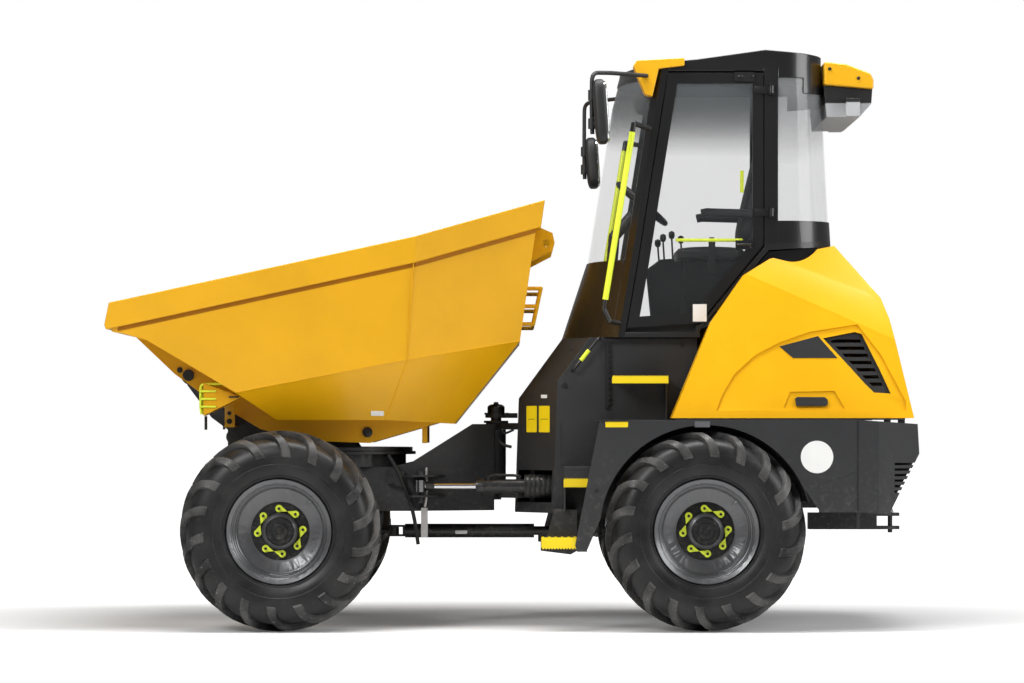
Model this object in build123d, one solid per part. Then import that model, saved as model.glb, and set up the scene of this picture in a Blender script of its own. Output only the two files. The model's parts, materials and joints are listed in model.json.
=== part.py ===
from build123d import *
import math
import os

# Articulated site dumper with a cab and a swivel skip.  Millimetres.
# +X towards the skip's lip, +Y towards the machine's left, +Z up, ground at z = 0.

# shared gaps
gap = 0.3               # between faces of two bodies that run on each other
seam = 6.0              # round the door and under the bonnet
eye_gap = 10.0          # each side of the open eye of a ram

# wheels and axles
tyre_radius = 580.0
tyre_width = 500.0
lug_count = 18            # on each side
lug_depth = 36.0
rim_radius = 286.0
rim_width = 400.0
rim_wall = 10.0
rim_flange = 18.0
well_depth = 36.0
disc_radius = 182.0
disc_wall = 16.0
disc_offset = 45.0      # of the disc's inner face, outboard of the wheel's middle
hub_radius = 105.0
hub_nose = 62.0
spindle_radius = 55.0
spindle_length = 110.0
track_half = 960.0
front_axle_x = 1350.0
rear_axle_x = -1106.0
axle_tube_radius = 75.0
carrier_radius = 120.0
carrier_wall = 60.0
diff_radius = 150.0
nose_length = 260.0
nose_radius = 60.0
pad_length = 180.0

# articulation joint
pivot_x = 106.0
pivot_radius = 32.0
barrel_radius = 60.0
barrel_low = 795.0
barrel_high = 1165.0
fork_wall = 40.0
fork_radius = 62.0
neck_half = 140.0
cap_radius = 74.0
cap_wall = 14.0
post_rise = 110.0

# chassis frames
frame_half = 350.0
frame_wall = 25.0
front_frame_low = 681.0
front_frame_top = 943.0
front_frame_nose = 1680.0
neck_top = 1199.0
rear_frame_low = 700.0
rear_frame_top = 1150.0
rear_frame_nose = -100.0
rear_frame_tail = -2080.0

# turntable
table_x = 1080.0
table_radius = 430.0
table_bore = 300.0
table_height = 75.0
flange_radius = 489.0
flange_wall = 18.0
slew_radius = 470.0
slew_wall = 25.0

# swivel frame, tip joint and tip ram
cheek_inner = 270.0
cheek_wall = 30.0
tip_x = 1926.0
tip_z = 1488.0
tip_pin_radius = 30.0
tip_boss_radius = 55.0
ram_base_x = 1688.0
ram_base_z = 1122.0
ram_eye_x = 866.0
ram_eye_z = 1145.0
ram_pin_radius = 28.0
ram_radius = 42.0
ram_rod_radius = 28.0
ram_eye_radius = 45.0
ram_eye_width = 90.0
ram_barrel_length = 690.0
ear_wall = 24.0

# skip
skip_wall = 12.0
rim_band = 150.0
rim_thickness = 28.0
beam_inner = 350.0
beam_width = 110.0
lug_x = -195.0            # of the lifting holes in the skip's rear lugs
lug_y = 420.0
lug_z = 2272.0
lug_hole = 22.0
lug_wall = 20.0
lip_half = 930.0
lip_top = 1800.0

# steering ram, on the left
steer_base_x = -400.0
steer_eye_x = 553.0
steer_y = 450.0
steer_z = 831.0
steer_radius = 41.0
steer_rod_radius = 18.0
steer_barrel_length = 624.0
steer_eye_radius = 32.0
steer_eye_height = 70.0
steer_pin_radius = 16.0
steer_plate_wall = 10.0
boot_radius = 68.0
boot_start = 130.0
boot_length = 207.0

# propeller shaft
prop_z = 555.0
prop_reach = 620.0      # of each universal joint from the pivot
prop_tube_radius = 42.0
prop_rod_radius = 27.0
prop_stub_radius = 18.0
prop_tube_length = 780.0
prop_eye_radius = 34.0
prop_eye_height = 44.0
prop_pin_radius = 14.0
prop_fork_wall = 12.0
prop_fork_length = 70.0

# front tower under the cab
tower_half = 600.0
tower_nose_half = 300.0
tower_low = 674.0
tower_top = 1708.0
tower_rear = -1080.0
panel_wall = 12.0

# cab
cab_half = 680.0
cab_wall = 40.0
cab_top = 3290.0
glass_wall = 6.0
glass_inset = 6.0
floor_wall = 30.0
waist = 2165.0
rear_waist = 2392.0
screen_top = 3230.0
pillar_width = 74.0
b_pillar_front = -1470.0
b_pillar_width = 80.0
roof_rise = 106.0
header_drop = 150.0
door_band = 62.0
hinge_out = 26.0

# bonnet
bonnet_half = 1000.0
bonnet_wall = 25.0
recess_depth = 10.0
pocket_depth = 18.0
bonnet_low = 1233.0
bonnet_hinge_x = -2300.0
bonnet_hinge_rise = 10.0
bonnet_pin_radius = 8.0
bonnet_lug_radius = 18.0
bonnet_lug_y = 400.0
bonnet_lug_width = 40.0

# mudguards and steps
guard_half = 1110.0
guard_wall = 20.0
guard_top = 1222.0
arch_gap = 32.0
liner_wall = 8.0

# bumper and hitch
bumper_front = -1980.0
bumper_wall = 16.0
lamp_span = (560.0, 760.0, 1085.0, 1150.0)     # y from, to, z from, to
hitch_half = 60.0
hitch_low = 564.0
hitch_high = 664.0


def box(x0, x1, y0, y1, z0, z1):
    return Solid.make_box(x1 - x0, y1 - y0, z1 - z0, Plane((x0, y0, z0)))


def side_plate(points, y0, y1):
    """A plate cut to points (x, z), from y0 to y1."""
    wire = Wire.make_polygon([(x, y0, z) for x, z in points], close=True)
    return Solid.extrude(Face(wire), Vector(0, y1 - y0, 0))


def floor_plate(points, z0, z1):
    """A plate cut to points (x, y), from z0 to z1."""
    wire = Wire.make_polygon([(x, y, z0) for x, y in points], close=True)
    return Solid.extrude(Face(wire), Vector(0, 0, z1 - z0))


def rod(start, end, radius):
    """A round bar between two points."""
    along = Vector(*end) - Vector(*start)
    return Solid.make_cylinder(radius, along.length, Plane(start, z_dir=along))


def mirrored(shape):
    return shape.mirror(Plane.XZ)


def joined(*shapes):
    """One solid from shapes that share faces or overlap."""
    total = shapes[0]
    for shape in shapes[1:]:
        total = total + shape
    return total


def halved(solid, points, inset=0.0):
    """What is left of solid on its own side of a plane through three points.

    The plane is first moved inwards by inset."""
    first, second, third = [Vector(*p) for p in points]
    normal = (second - first).cross(third - first).normalized()
    if (solid.center() - first).dot(normal) > 0:
        normal = -normal
    reach = 9000.0
    seat = Plane(first - normal * inset, z_dir=normal)
    knife = Solid.make_box(reach, reach, reach, Plane(seat.from_local_coords((-reach / 2, -reach / 2, 0)),
                                                     x_dir=seat.x_dir, z_dir=normal))
    return solid - knife


def inset_outline(points, amount):
    """The outline of points (x, z), moved inwards by amount."""
    if amount == 0:
        return points
    sketch = offset(Face(Wire.make_polygon([(x, z, 0) for x, z in points], close=True)),
                    amount=-amount, kind=Kind.INTERSECTION)
    edges = sketch.face().outer_wire().order_edges()
    return [(edge.position_at(0).X, edge.position_at(0).Y) for edge in edges]


def save(name, *solids):
    shape = solids[0] if len(solids) == 1 else Compound(children=list(solids))
    export_step(shape, "parts/" + name + ".step")


# ---------------------------------------------------------------- wheels

def wheel_profile(points, arcs=()):
    """A face in the plane of radius (x) and width (y), from corners and the middles of arcs."""
    edges = []
    for index, start in enumerate(points):
        end = points[(index + 1) % len(points)]
        middle = dict(arcs).get(index)
        edges.append(ThreePointArc(start, middle, end) if middle else Line(start, end))
    return make_face(edges)


def tyre():
    """A faceted ring with V-shaped lugs, those of one side half a pitch behind the other side's.

    Each row of corners has four to a pitch: a groove's end, the two edges of a lug's top, the next groove."""
    pitch = 360.0 / lug_count
    steps = (0.0, 0.1, 0.5, 0.6)
    crown = tyre_radius / math.cos(math.radians(0.2 * pitch))
    # y, radius in the grooves, radius on the lugs, lead of the lug in pitches
    rows = [(25, crown - lug_depth, crown, 1.25), (120, crown - lug_depth - 3, crown, 0.75),
            (222, crown - 60, crown - 26, 0.2), (tyre_width / 2, 450, 453, 0.0)]
    base = 180.0 - 0.3 * pitch
    count = len(steps) * lug_count

    def corner(y, radius, angle):
        turn = math.radians(angle)
        return Vector(radius * math.sin(turn), y, radius * math.cos(turn))

    grid = []
    for side in (1, -1):
        half = []
        for y, groove, top, lead in rows:
            ring = []
            for k in range(count):
                step = steps[k % 4]
                radius = top if step in (0.1, 0.5) else groove
                angle = base + pitch * (k // 4 + step + lead - rows[0][3] + (0 if side > 0 else 0.5))
                ring.append(corner(side * y, radius, angle))
            half.append(ring)
        bead_radius = (rim_radius + gap) / math.cos(math.pi / count)
        shift = 0 if side > 0 else 2
        start = base - pitch * rows[0][3]
        half.append([corner(side * (rim_width / 2 - 0.5), bead_radius, start + pitch / 4 * (k + shift))
                     for k in range(count)])
        grid.append(half)
    left, right = grid
    strips = list(zip(left[:-1], left[1:])) + list(zip(right[1:], right[:-1]))
    strips.append((right[0], left[0]))
    strips.append((left[-1], right[-1][-2:] + right[-1][:-2]))
    faces = []
    for first, second in strips:
        for k in range(count):
            n = (k + 1) % count
            for corners in ((first[k], first[n], second[n]), (first[k], second[n], second[k])):
                faces.append(Face(Wire.make_polygon(list(corners), close=True)))
    return Solid(Shell(faces))


def rim():
    """Barrel with flanges and drop well, dished disc and hub, its spindle bore blind."""
    edge = rim_width / 2
    well = rim_radius - well_depth
    inside = rim_radius - rim_wall
    bead = edge - 50
    barrel = wheel_profile([
        (rim_radius, -bead), (rim_radius, -edge), (rim_radius + rim_flange, -edge - 10),
        (rim_radius + rim_flange - 4, -edge - 18), (inside, -edge - 4), (inside, rim_wall - bead),
        (well - rim_wall, 6 - bead / 2), (well - rim_wall, bead - 60), (inside, bead - 4), (inside, edge + 4),
        (rim_radius + rim_flange - 4, edge + 18), (rim_radius + rim_flange, edge + 10), (rim_radius, edge),
        (rim_radius, bead), (well, bead - 50), (well, -bead / 2)])
    disc = wheel_profile([
        (hub_radius - 5, disc_offset), (disc_radius, disc_offset), (well - rim_wall + 1, disc_offset + 34),
        (well - rim_wall + 1, disc_offset + 34 + disc_wall), (disc_radius - 6, disc_offset + disc_wall),
        (hub_radius - 5, disc_offset + disc_wall)])
    bore = spindle_radius + gap
    hub = wheel_profile([
        (bore, gap - carrier_wall), (hub_radius, gap - carrier_wall), (hub_radius, disc_offset + hub_nose),
        (hub_radius - 22, disc_offset + hub_nose + 16), (0, disc_offset + hub_nose + 24),
        (0, spindle_length - carrier_wall + 3), (bore, spindle_length - carrier_wall + 3)])
    return joined(revolve(barrel, Axis.Y, 360), revolve(disc, Axis.Y, 360), revolve(hub, Axis.Y, 360))


def axle(axle_x, nose_side, frame_low):
    """Beam axle with its differential, drive nose, spring pads, hub carriers and spindles."""
    z = tyre_radius
    carrier_out = track_half - carrier_wall
    reach = carrier_out - carrier_wall
    body = joined(
        rod((axle_x, -reach, z), (axle_x, reach, z), axle_tube_radius),
        Solid.make_sphere(diff_radius, Plane((axle_x, 0, z)), -90, 90, 360),
        rod((axle_x, 0, z), (axle_x + nose_side * nose_length, 0, prop_z), nose_radius))
    for side in (-1, 1):
        body = joined(
            body,
            rod((axle_x, side * reach, z), (axle_x, side * carrier_out, z), carrier_radius),
            rod((axle_x, side * carrier_out, z), (axle_x, side * (carrier_out + spindle_length), z),
                spindle_radius))
        inner, outer = sorted((side * (frame_half - 60), side * (frame_half + 20)))
        pad = box(axle_x - pad_length / 2, axle_x + pad_length / 2, inner, outer, z, frame_low)
        body = body + pad
    return body


# ---------------------------------------------------------------- propeller shaft

def prop_eye(eye_x, base_x):
    """A stub from an axle's nose to the eye of a universal joint."""
    low = prop_z - prop_eye_height / 2
    body = joined(rod((base_x, 0, prop_z), (eye_x, 0, prop_z), prop_stub_radius),
                  Solid.make_cylinder(prop_eye_radius, prop_eye_height, Plane((eye_x, 0, low))))
    bore = Solid.make_cylinder(prop_pin_radius + gap, 4 * prop_eye_height, Plane((eye_x, 0, low - prop_eye_height)))
    return body - bore


def prop_fork(eye_x, side):
    """Fork plates and pin of a universal joint; side is +1 when the shaft leaves towards +X."""
    body = None
    half = prop_eye_height / 2 + gap
    root = eye_x + side * prop_fork_length
    for low in (prop_z + half, prop_z - half - prop_fork_wall):
        cheek = joined(Solid.make_cylinder(prop_eye_radius, prop_fork_wall, Plane((eye_x, 0, low))),
                       box(min(eye_x, root), max(eye_x, root), -prop_eye_radius, prop_eye_radius,
                           low, low + prop_fork_wall))
        body = cheek if body is None else body + cheek
    wall_end = root - side * 14
    body = joined(body, box(min(root, wall_end), max(root, wall_end), -prop_eye_radius, prop_eye_radius,
                            prop_z - half - prop_fork_wall, prop_z + half + prop_fork_wall))
    height = 2 * (half + prop_fork_wall)
    return body + Solid.make_cylinder(prop_pin_radius, height, Plane((eye_x, 0, prop_z - height / 2)))


front_joint_x = pivot_x + prop_reach
rear_joint_x = pivot_x - prop_reach


def prop_front():
    """The hollow half: fork at the front joint and a tube open to the rear."""
    start = front_joint_x - prop_fork_length
    tube = rod((start, 0, prop_z), (start - prop_tube_length, 0, prop_z), prop_tube_radius)
    hollow = rod((start - 60, 0, prop_z), (start - prop_tube_length - 1, 0, prop_z), prop_rod_radius + 1)
    return joined(prop_fork(front_joint_x, -1), tube) - hollow


def prop_rear():
    start = rear_joint_x + prop_fork_length
    end = front_joint_x - prop_fork_length - prop_tube_length + 420
    return joined(prop_fork(rear_joint_x, 1), rod((start - 2, 0, prop_z), (end, 0, prop_z), prop_rod_radius))


# ---------------------------------------------------------------- front frame

def front_chassis():
    low, top, nose = front_frame_low, front_frame_top, front_frame_nose
    neck_x = pivot_x + 11
    wide_x = 600
    outline = [(neck_x, low), (neck_x, neck_top), (neck_x + 131, neck_top), (606, top + 30), (737, top),
               (nose - 80, top), (nose, top - 63), (nose, low + 60), (nose - 80, low)]
    half = frame_half - frame_wall
    plan = [(neck_x, neck_half - frame_wall), (neck_x, neck_half), (wide_x, frame_half), (nose, frame_half),
            (nose, half), (wide_x + 6, half)]
    left = floor_plate(plan, low - 5, neck_top + 5) & side_plate(outline, 0, frame_half + 5)
    bulkhead_x = neck_x + 60
    plates = [
        box(640, nose - 80, -half, half, top - 20, top),
        box(bulkhead_x, bulkhead_x + 20, -neck_half, neck_half, low, neck_top),
        floor_plate([(bulkhead_x + 20, -neck_half), (wide_x, -half), (1130, -half), (1130, half), (wide_x, half),
                     (bulkhead_x + 20, neck_half)], low, low + 20),
        box(nose - 25, nose, -half, half, low + 60, top - 63)]
    barrel = Solid.make_cylinder(barrel_radius, barrel_high - barrel_low, Plane((pivot_x, 0, barrel_low)))
    webs = [box(pivot_x, bulkhead_x, -25, 25, barrel_low, barrel_high),
            box(pivot_x, bulkhead_x, -barrel_radius, barrel_radius, barrel_low + 60, barrel_low + 90),
            box(pivot_x, bulkhead_x, -barrel_radius, barrel_radius, barrel_high - 90, barrel_high - 60)]
    body = joined(left, mirrored(left), *plates, barrel, *webs)
    bore = Solid.make_cylinder(pivot_radius + gap, 900, Plane((pivot_x, 0, barrel_low - 200)))
    # two plates that hold the steering ram's pin, with a stub of the pin on each
    half_gap = steer_eye_height / 2 + eye_gap + 10
    for low_z in (steer_z + half_gap, steer_z - half_gap - steer_plate_wall):
        plate = floor_plate([(steer_eye_x - 150, frame_half - 100), (steer_eye_x - 90, steer_y + 5),
                             (steer_eye_x - 30, steer_y + 55), (steer_eye_x + 45, steer_y + 55),
                             (steer_eye_x + 92, steer_y), (steer_eye_x + 92, frame_half - 1)],
                            low_z, low_z + steer_plate_wall)
        body = body + plate
    for z0, z1 in ((steer_z + half_gap, steer_z + half_gap + 34), (steer_z - half_gap - 46, steer_z - half_gap)):
        body = body + Solid.make_cylinder(steer_pin_radius + 6, z1 - z0, Plane((steer_eye_x, steer_y, z0)))
    return body - bore


def turntable():
    base = front_frame_top
    top = base + table_height
    ring = (Solid.make_cylinder(table_radius, table_height, Plane((table_x, 0, base)))
            + Solid.make_cylinder(flange_radius, flange_wall, Plane((table_x, 0, top))))
    return ring - Solid.make_cylinder(table_bore, 3 * table_height, Plane((table_x, 0, base - 5)))


slew_low = front_frame_top + table_height + flange_wall + gap
slew_top = slew_low + slew_wall


# ---------------------------------------------------------------- swivel frame and tip ram

def swivel_frame():
    plate = Solid.make_cylinder(slew_radius, slew_wall, Plane((table_x, 0, slew_low)))
    nose = box(table_x, 1706, -cheek_inner, cheek_inner, slew_low, slew_top)
    outline = [(930, slew_top), (990, slew_top + 88), (1330, slew_top + 88), (1500, 1225), (tip_x - 80, tip_z - 5),
               (tip_x - 20, tip_z + 40), (tip_x + 40, tip_z), (tip_x + 20, tip_z - 60),
               (1803, 1237), (1706, 1165), (1706, slew_low), (1400, slew_low), (1400, slew_top)]
    cheek = side_plate(outline, cheek_inner, cheek_inner + cheek_wall)
    boss = rod((tip_x, cheek_inner, tip_z), (tip_x, beam_inner - gap, tip_z), tip_boss_radius)
    pin = rod((tip_x, cheek_inner, tip_z), (tip_x, beam_inner + beam_width + 14, tip_z), tip_pin_radius)
    side = joined(cheek, boss, pin)
    front_bar = side_plate([(1760, 1237), (1800, 1240), (1870, 1340), (1830, 1340)], -cheek_inner, cheek_inner)
    body = joined(plate, nose, side, mirrored(side), front_bar)
    half = ram_eye_width / 2 + gap
    for y0, y1 in ((half, half + ear_wall), (-half - ear_wall, -half)):
        ear = joined(rod((ram_base_x, y0, ram_base_z), (ram_base_x, y1, ram_base_z), ram_eye_radius),
                     box(ram_base_x - 45, ram_base_x + 30, y0, y1, slew_top, ram_base_z))
        body = body + ear
    return body + rod((ram_base_x, -half, ram_base_z), (ram_base_x, half, ram_base_z), ram_pin_radius)


def lamp_guards():
    """Folded guards beside the swivel frame's front, each round one lamp."""
    y0, y1 = cheek_inner + cheek_wall, 840.0
    arm = box(1640, 1700, y0, 640, 1180, 1192)
    post = box(1640, 1700, 628, 640, 1192, 1380)
    guard = side_plate([(1587, 1356), (1809, 1246), (1809, 1438)], 640, y1)
    hollow = side_plate([(1640, 1354), (1830, 1262), (1830, 1424)], 652, y1 - 12)
    left = joined(arm, post, guard - hollow)
    return left, mirrored(left)


def front_lamps():
    """Round lamps inside the guards, each on a cross pin."""
    x, y, z = 1750.0, 740.0, 1347.0
    lamp = joined(rod((x - 15, y, z), (x + 45, y, z), 36), rod((x, 652, z), (x, 828, z), 8))
    return lamp, mirrored(lamp)


def ram_axis():
    return (Vector(ram_eye_x, 0, ram_eye_z) - Vector(ram_base_x, 0, ram_base_z)).normalized()


def tip_barrel():
    along = ram_axis()
    base = Vector(ram_base_x, 0, ram_base_z)
    half = ram_eye_width / 2
    eye = rod((ram_base_x, -half, ram_base_z), (ram_base_x, half, ram_base_z), ram_eye_radius)
    tube = rod((base + along * 30), (base + along * ram_barrel_length), ram_radius)
    hollow = rod((base + along * 80), (base + along * (ram_barrel_length + 1)),
                 ram_rod_radius + gap)
    bore = rod((ram_base_x, -half - 5, ram_base_z), (ram_base_x, half + 5, ram_base_z), ram_pin_radius + gap)
    return joined(eye, tube) - hollow - bore


def tip_rod():
    along = ram_axis()
    eye = Vector(ram_eye_x, 0, ram_eye_z)
    reach = (eye - Vector(ram_base_x, 0, ram_base_z)).length
    half = ram_eye_width / 2
    return joined(rod((eye - along * 20), (eye - along * (reach - 100)), ram_rod_radius),
                  rod((ram_eye_x, -half, ram_eye_z), (ram_eye_x, half, ram_eye_z), ram_eye_radius))


# ---------------------------------------------------------------- skip

# the skip's outline from the side (x, z), from the lip backwards
lip_outline = [(2331, 1771), (2318, 1731), (2261, 1723), (2115, 1681), (1615, 1382), (1383, 1222),
               (753, 1222), (351, 1200), (-36, 1687), (-152, 2500)]
rim_line = [(2325, 1899), (569, 2279), (-152, 2500)]
# flat sides: three points (x, y, z) of each
skip_sides = [
    ((2325, 1100, 1899), (569, 1100, 2279), (617, 970, 1573)),
    ((617, 970, 1573), (1615, 975, 1382), (753, 700, 1222)),
    ((569, 1100, 2279), (-152, 750, 2500), (617, 970, 1573)),
    ((617, 970, 1573), (753, 700, 1222), (-36, 634, 1687))]


def skip_form(inset, side_inset=None):
    """The closed bulk of the skip up to above its rim, each face moved inwards by inset."""
    if side_inset is None:
        side_inset = inset
    outline = lip_outline + [(-190, 2770), (2110, 2770)]
    body = side_plate(inset_outline(outline, inset), -1300, 1300)
    for points in skip_sides:
        body = halved(body, points, side_inset)
        body = halved(body, [(x, -y, z) for x, y, z in points], side_inset)
    return body


def above_rim(drop):
    (x0, z0), (x1, z1), (x2, z2) = rim_line
    return side_plate([(x0 + 300, z0 - 65 - drop), (x1, z1 - drop), (x2 - 300, z2 + 92 - drop),
                       (x2 - 300, 3200), (x0 + 300, 3200)], -1400, 1400)


def skip_walls():
    """The pan bent along the skip's outline, the two sides, and the band round the rim."""
    core = skip_form(0, skip_wall)
    spout = box(2200, 2500, -lip_half, lip_half, lip_top, 2100)
    waste = above_rim(0) + spout
    pan = core - skip_form(skip_wall) - waste
    sides = skip_form(0) - core - waste
    band = ((skip_form(-rim_thickness) - skip_form(0)) & above_rim(rim_band)) - waste
    fittings = [piece - skip_form(skip_wall / 2) - band for piece in lifting_lugs() + rear_handles()]
    return joined(pan, *fittings), sides.solids(), band.solids()


def lifting_lugs():
    """Plates with a lifting hole, one at each end of the skip's rear wall."""
    outline = [(lug_x + 80, lug_z + 110), (lug_x - 35, lug_z + 60), (lug_x - 48, lug_z), (lug_x - 35, lug_z - 45),
               (lug_x + 90, lug_z - 110)]
    lugs = []
    for side in (-1, 1):
        y0, y1 = sorted((side * lug_y, side * (lug_y + lug_wall)))
        hole = rod((lug_x, y0 - 1, lug_z), (lug_x, y1 + 1, lug_z), lug_hole)
        lugs.append(side_plate(outline, y0, y1) - hole)
    return lugs


def rear_handles():
    """A double loop on each side of the skip's rear wall."""
    loops = []
    for side in (-1, 1):
        y = side * 500
        loop = path([(-45, y, 1790), (-115, y, 1790), (-160, y, 2000), (-80, y, 2000)], 12)
        loops.append(loop + rod((-60, y, 1895), (-137, y, 1895), 12))
    return loops


def skip_subframe():
    bottom = [(2236, 1711), (2009, 1495), (1824, 1360), (1501, 1169), (1181, 1098), (854, 1086), (560, 1172)]
    top = [(445, 1207), (753, 1222), (1383, 1222), (1615, 1382), (2115, 1681), (2230, 1714)]
    beam = side_plate(bottom + top, beam_inner, beam_inner + beam_width)
    bore = rod((tip_x, beam_inner - 5, tip_z), (tip_x, beam_inner + beam_width + 5, tip_z), tip_pin_radius + gap)
    half = ram_eye_width / 2 + eye_gap
    shaft = rod((ram_eye_x, half, ram_eye_z), (ram_eye_x, beam_inner + 5, ram_eye_z), ram_pin_radius)
    ear = joined(rod((ram_eye_x, half, ram_eye_z), (ram_eye_x, half + ear_wall, ram_eye_z), ram_eye_radius),
                 box(ram_eye_x - 60, ram_eye_x + 60, half, half + ear_wall, ram_eye_z, 1230))
    leg = box(515, 545, 290, beam_inner + 20, 1085, 1230)
    left = joined(beam - bore, shaft, ear, leg) - skip_form(0)
    return left, mirrored(left)


# ---------------------------------------------------------------- steering ram

def steer_barrel():
    base = (steer_base_x, steer_y, steer_z)
    half = steer_eye_height / 2
    eye = Solid.make_cylinder(steer_eye_radius, 2 * half, Plane((steer_base_x, steer_y, steer_z - half)))
    tube = joined(rod((steer_base_x, steer_y, steer_z), (steer_base_x + 75, steer_y, steer_z), 28),
                  rod((steer_base_x + 70, steer_y, steer_z),
                      (steer_base_x + steer_barrel_length, steer_y, steer_z), steer_radius))
    boot = rod((steer_base_x + boot_start, steer_y, steer_z),
               (steer_base_x + boot_start + boot_length, steer_y, steer_z), boot_radius)
    hollow = rod((steer_base_x + 70, steer_y, steer_z),
                 (steer_base_x + steer_barrel_length + 1, steer_y, steer_z), steer_rod_radius + gap)
    bore = Solid.make_cylinder(steer_pin_radius + gap, 4 * half, Plane((base[0], base[1], steer_z - 2 * half)))
    return joined(eye, tube, boot) - hollow - bore


def steer_rod():
    half = steer_eye_height / 2
    eye = Solid.make_cylinder(steer_eye_radius, 2 * half, Plane((steer_eye_x, steer_y, steer_z - half)))
    return joined(eye, rod((steer_eye_x - 10, steer_y, steer_z), (steer_base_x + 310, steer_y, steer_z),
                           steer_rod_radius))


def steer_swing():
    """The room the ram sweeps beside the rear frame as the machine bends."""
    return floor_plate([(steer_base_x - 70, steer_y - 80), (steer_base_x - 70, steer_y + 80),
                        (-231, steer_y + 130), (20, steer_y + 230), (20, steer_y - 185), (-231, steer_y - 130)],
                       steer_z - 95, steer_z + 95)


# ---------------------------------------------------------------- rear frame

def rear_chassis():
    low, top = rear_frame_low, rear_frame_top
    nose, tail = rear_frame_nose, rear_frame_tail
    left = side_plate([(nose, low), (nose, top), (tail, top), (tail, low)], frame_half - frame_wall, frame_half)
    half = frame_half - frame_wall
    plates = [box(nose - 25, nose, -half, half, low, top),
              box(-560, -540, -half, half, low, top),
              box(-1700, -1680, -half, half, low, top),
              box(tail, tail + 25, -half, half, low, top)]
    body = joined(left, mirrored(left), *plates) - steer_swing()
    # fork plates round the hinge barrel, and the post through them
    for z in (barrel_low - gap - fork_wall, barrel_high + gap):
        fork = joined(Solid.make_cylinder(fork_radius, fork_wall, Plane((pivot_x, 0, z))),
                      floor_plate([(pivot_x, -fork_radius), (pivot_x, fork_radius), (nose - 20, 220),
                                   (nose - 20, -220)], z, z + fork_wall))
        body = body + fork
    neck = box(nose - 25, nose, -220, 220, top - 5, barrel_high + gap + fork_wall)
    post_low = barrel_low - gap - fork_wall - 12
    post_top = barrel_high + gap + fork_wall + post_rise
    post = Solid.make_cylinder(pivot_radius, post_top - post_low, Plane((pivot_x, 0, post_low)))
    cap_low = barrel_high + gap + fork_wall
    cap = Solid.make_cylinder(cap_radius, cap_wall, Plane((pivot_x, 0, cap_low)))
    link = box(-24, pivot_x - 20, -14, 14, cap_low + 30, cap_low + 60)
    collar = Solid.make_cylinder(cap_radius - 8, 24, Plane((pivot_x, 0, cap_low + 33)))
    body = joined(body, neck, post, cap, link, collar)
    # bracket and pin of the steering ram's base
    half_eye = steer_eye_height / 2 + gap
    for z in (steer_z + half_eye, steer_z - half_eye - steer_plate_wall):
        body = body + box(steer_base_x - 50, steer_base_x + 36, frame_half - 1, steer_y + 45, z,
                          z + steer_plate_wall)
    return body + Solid.make_cylinder(steer_pin_radius, 2 * (half_eye + steer_plate_wall),
                                      Plane((steer_base_x, steer_y, steer_z - half_eye - steer_plate_wall)))


def tower_form(inset):
    outline = [(-8, tower_low), (-32, 1354), (-291, tower_top), (tower_rear, tower_top), (tower_rear, tower_low)]
    half = tower_half - inset
    body = side_plate(inset_outline(outline, inset), -half, half)
    for side in (-1, 1):
        lower = [(-8, side * tower_nose_half, tower_low), (-32, side * tower_nose_half, 1354),
                 (-231, side * tower_half, tower_low)]
        upper = [(-32, side * tower_nose_half, 1354), (-291, side * tower_nose_half, tower_top),
                 (-448, side * tower_half, tower_top)]
        body = halved(body, lower, inset)
        body = halved(body, upper, inset)
    return body


def tower():
    body = tower_form(0) - tower_form(panel_wall)
    # slots for the fork plates, the chassis and the steering ram
    for z in (barrel_low - gap - fork_wall, barrel_high + gap):
        body = body - box(-70, 0, -215, 215, z - 5, z + fork_wall + 5)
    body = body - box(tower_rear - 5, tower_rear + panel_wall + 5, -frame_half - 1, frame_half + 1,
                      rear_frame_low - 1, rear_frame_top + 1)
    axle_room = box(tower_rear - 5, -980, -380, 380, tower_low - 5, rear_frame_low + 5)
    return body - steer_swing() - axle_room


arch_radius = tyre_radius + arch_gap


def mudguards():
    """Top plate, side panel cut round the wheel, and the curved liner, on each side."""
    x0, x1 = -494.0, bumper_front
    top = guard_top
    side_y = guard_half - guard_wall
    panel = side_plate([(-362, 463), (-352, 500), (x0, top), (x1, top), (x1, 690), (-1745, 690),
                        (-600, 690), (-430, 463)], side_y, guard_half)
    arch = rod((rear_axle_x, side_y - 5, tyre_radius), (rear_axle_x, guard_half + 5, tyre_radius), arch_radius)
    foot = side_plate([(-440, 400), (-420, 470), (-560, 800), (-1106, 640), (-1106, 300), (-600, 400)],
                      side_y - 5, guard_half + 5)
    rear_cut = side_plate([(-1106, 300), (-1106, 640), (-1640, 870), (-1765, 690), (-1765, 300)],
                          side_y - 5, guard_half + 5)
    panel = panel - arch - foot - rear_cut
    top_plate = box(x1, x0, tower_half, side_y, top - guard_wall / 2, top)
    ring = rod((rear_axle_x, tower_half + 40, tyre_radius), (rear_axle_x, side_y, tyre_radius),
               arch_radius + liner_wall)
    ring = ring - rod((rear_axle_x, tower_half, tyre_radius), (rear_axle_x, guard_half, tyre_radius), arch_radius)
    liner = ring & side_plate([(rear_axle_x, tyre_radius), (-300, 830), (-300, top - 5), (x1, top - 5), (x1, 830)],
                              0, guard_half)
    left = joined(panel, top_plate, liner)
    return left, mirrored(left)


def bottom_steps():
    """Lowest step on its hanger and the tread above it, on each side."""
    hanger = side_plate([(-230, 690), (-190, 540), (-155, 540), (-155, 462), (-330, 440), (-368, 462), (-368, 690)],
                        880, 892)
    tread = box(-350, -170, 892, guard_half - guard_wall, 500, 540)
    upper = box(-490, -290, tower_half, 940, 930, 950)
    riser = box(-300, -290, tower_half, 940, 690, 930)
    rail = box(-368, -230, tower_half, 892, 690, 702)
    left = joined(tread, hanger, rail, riser, upper)
    return left, mirrored(left)


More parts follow.
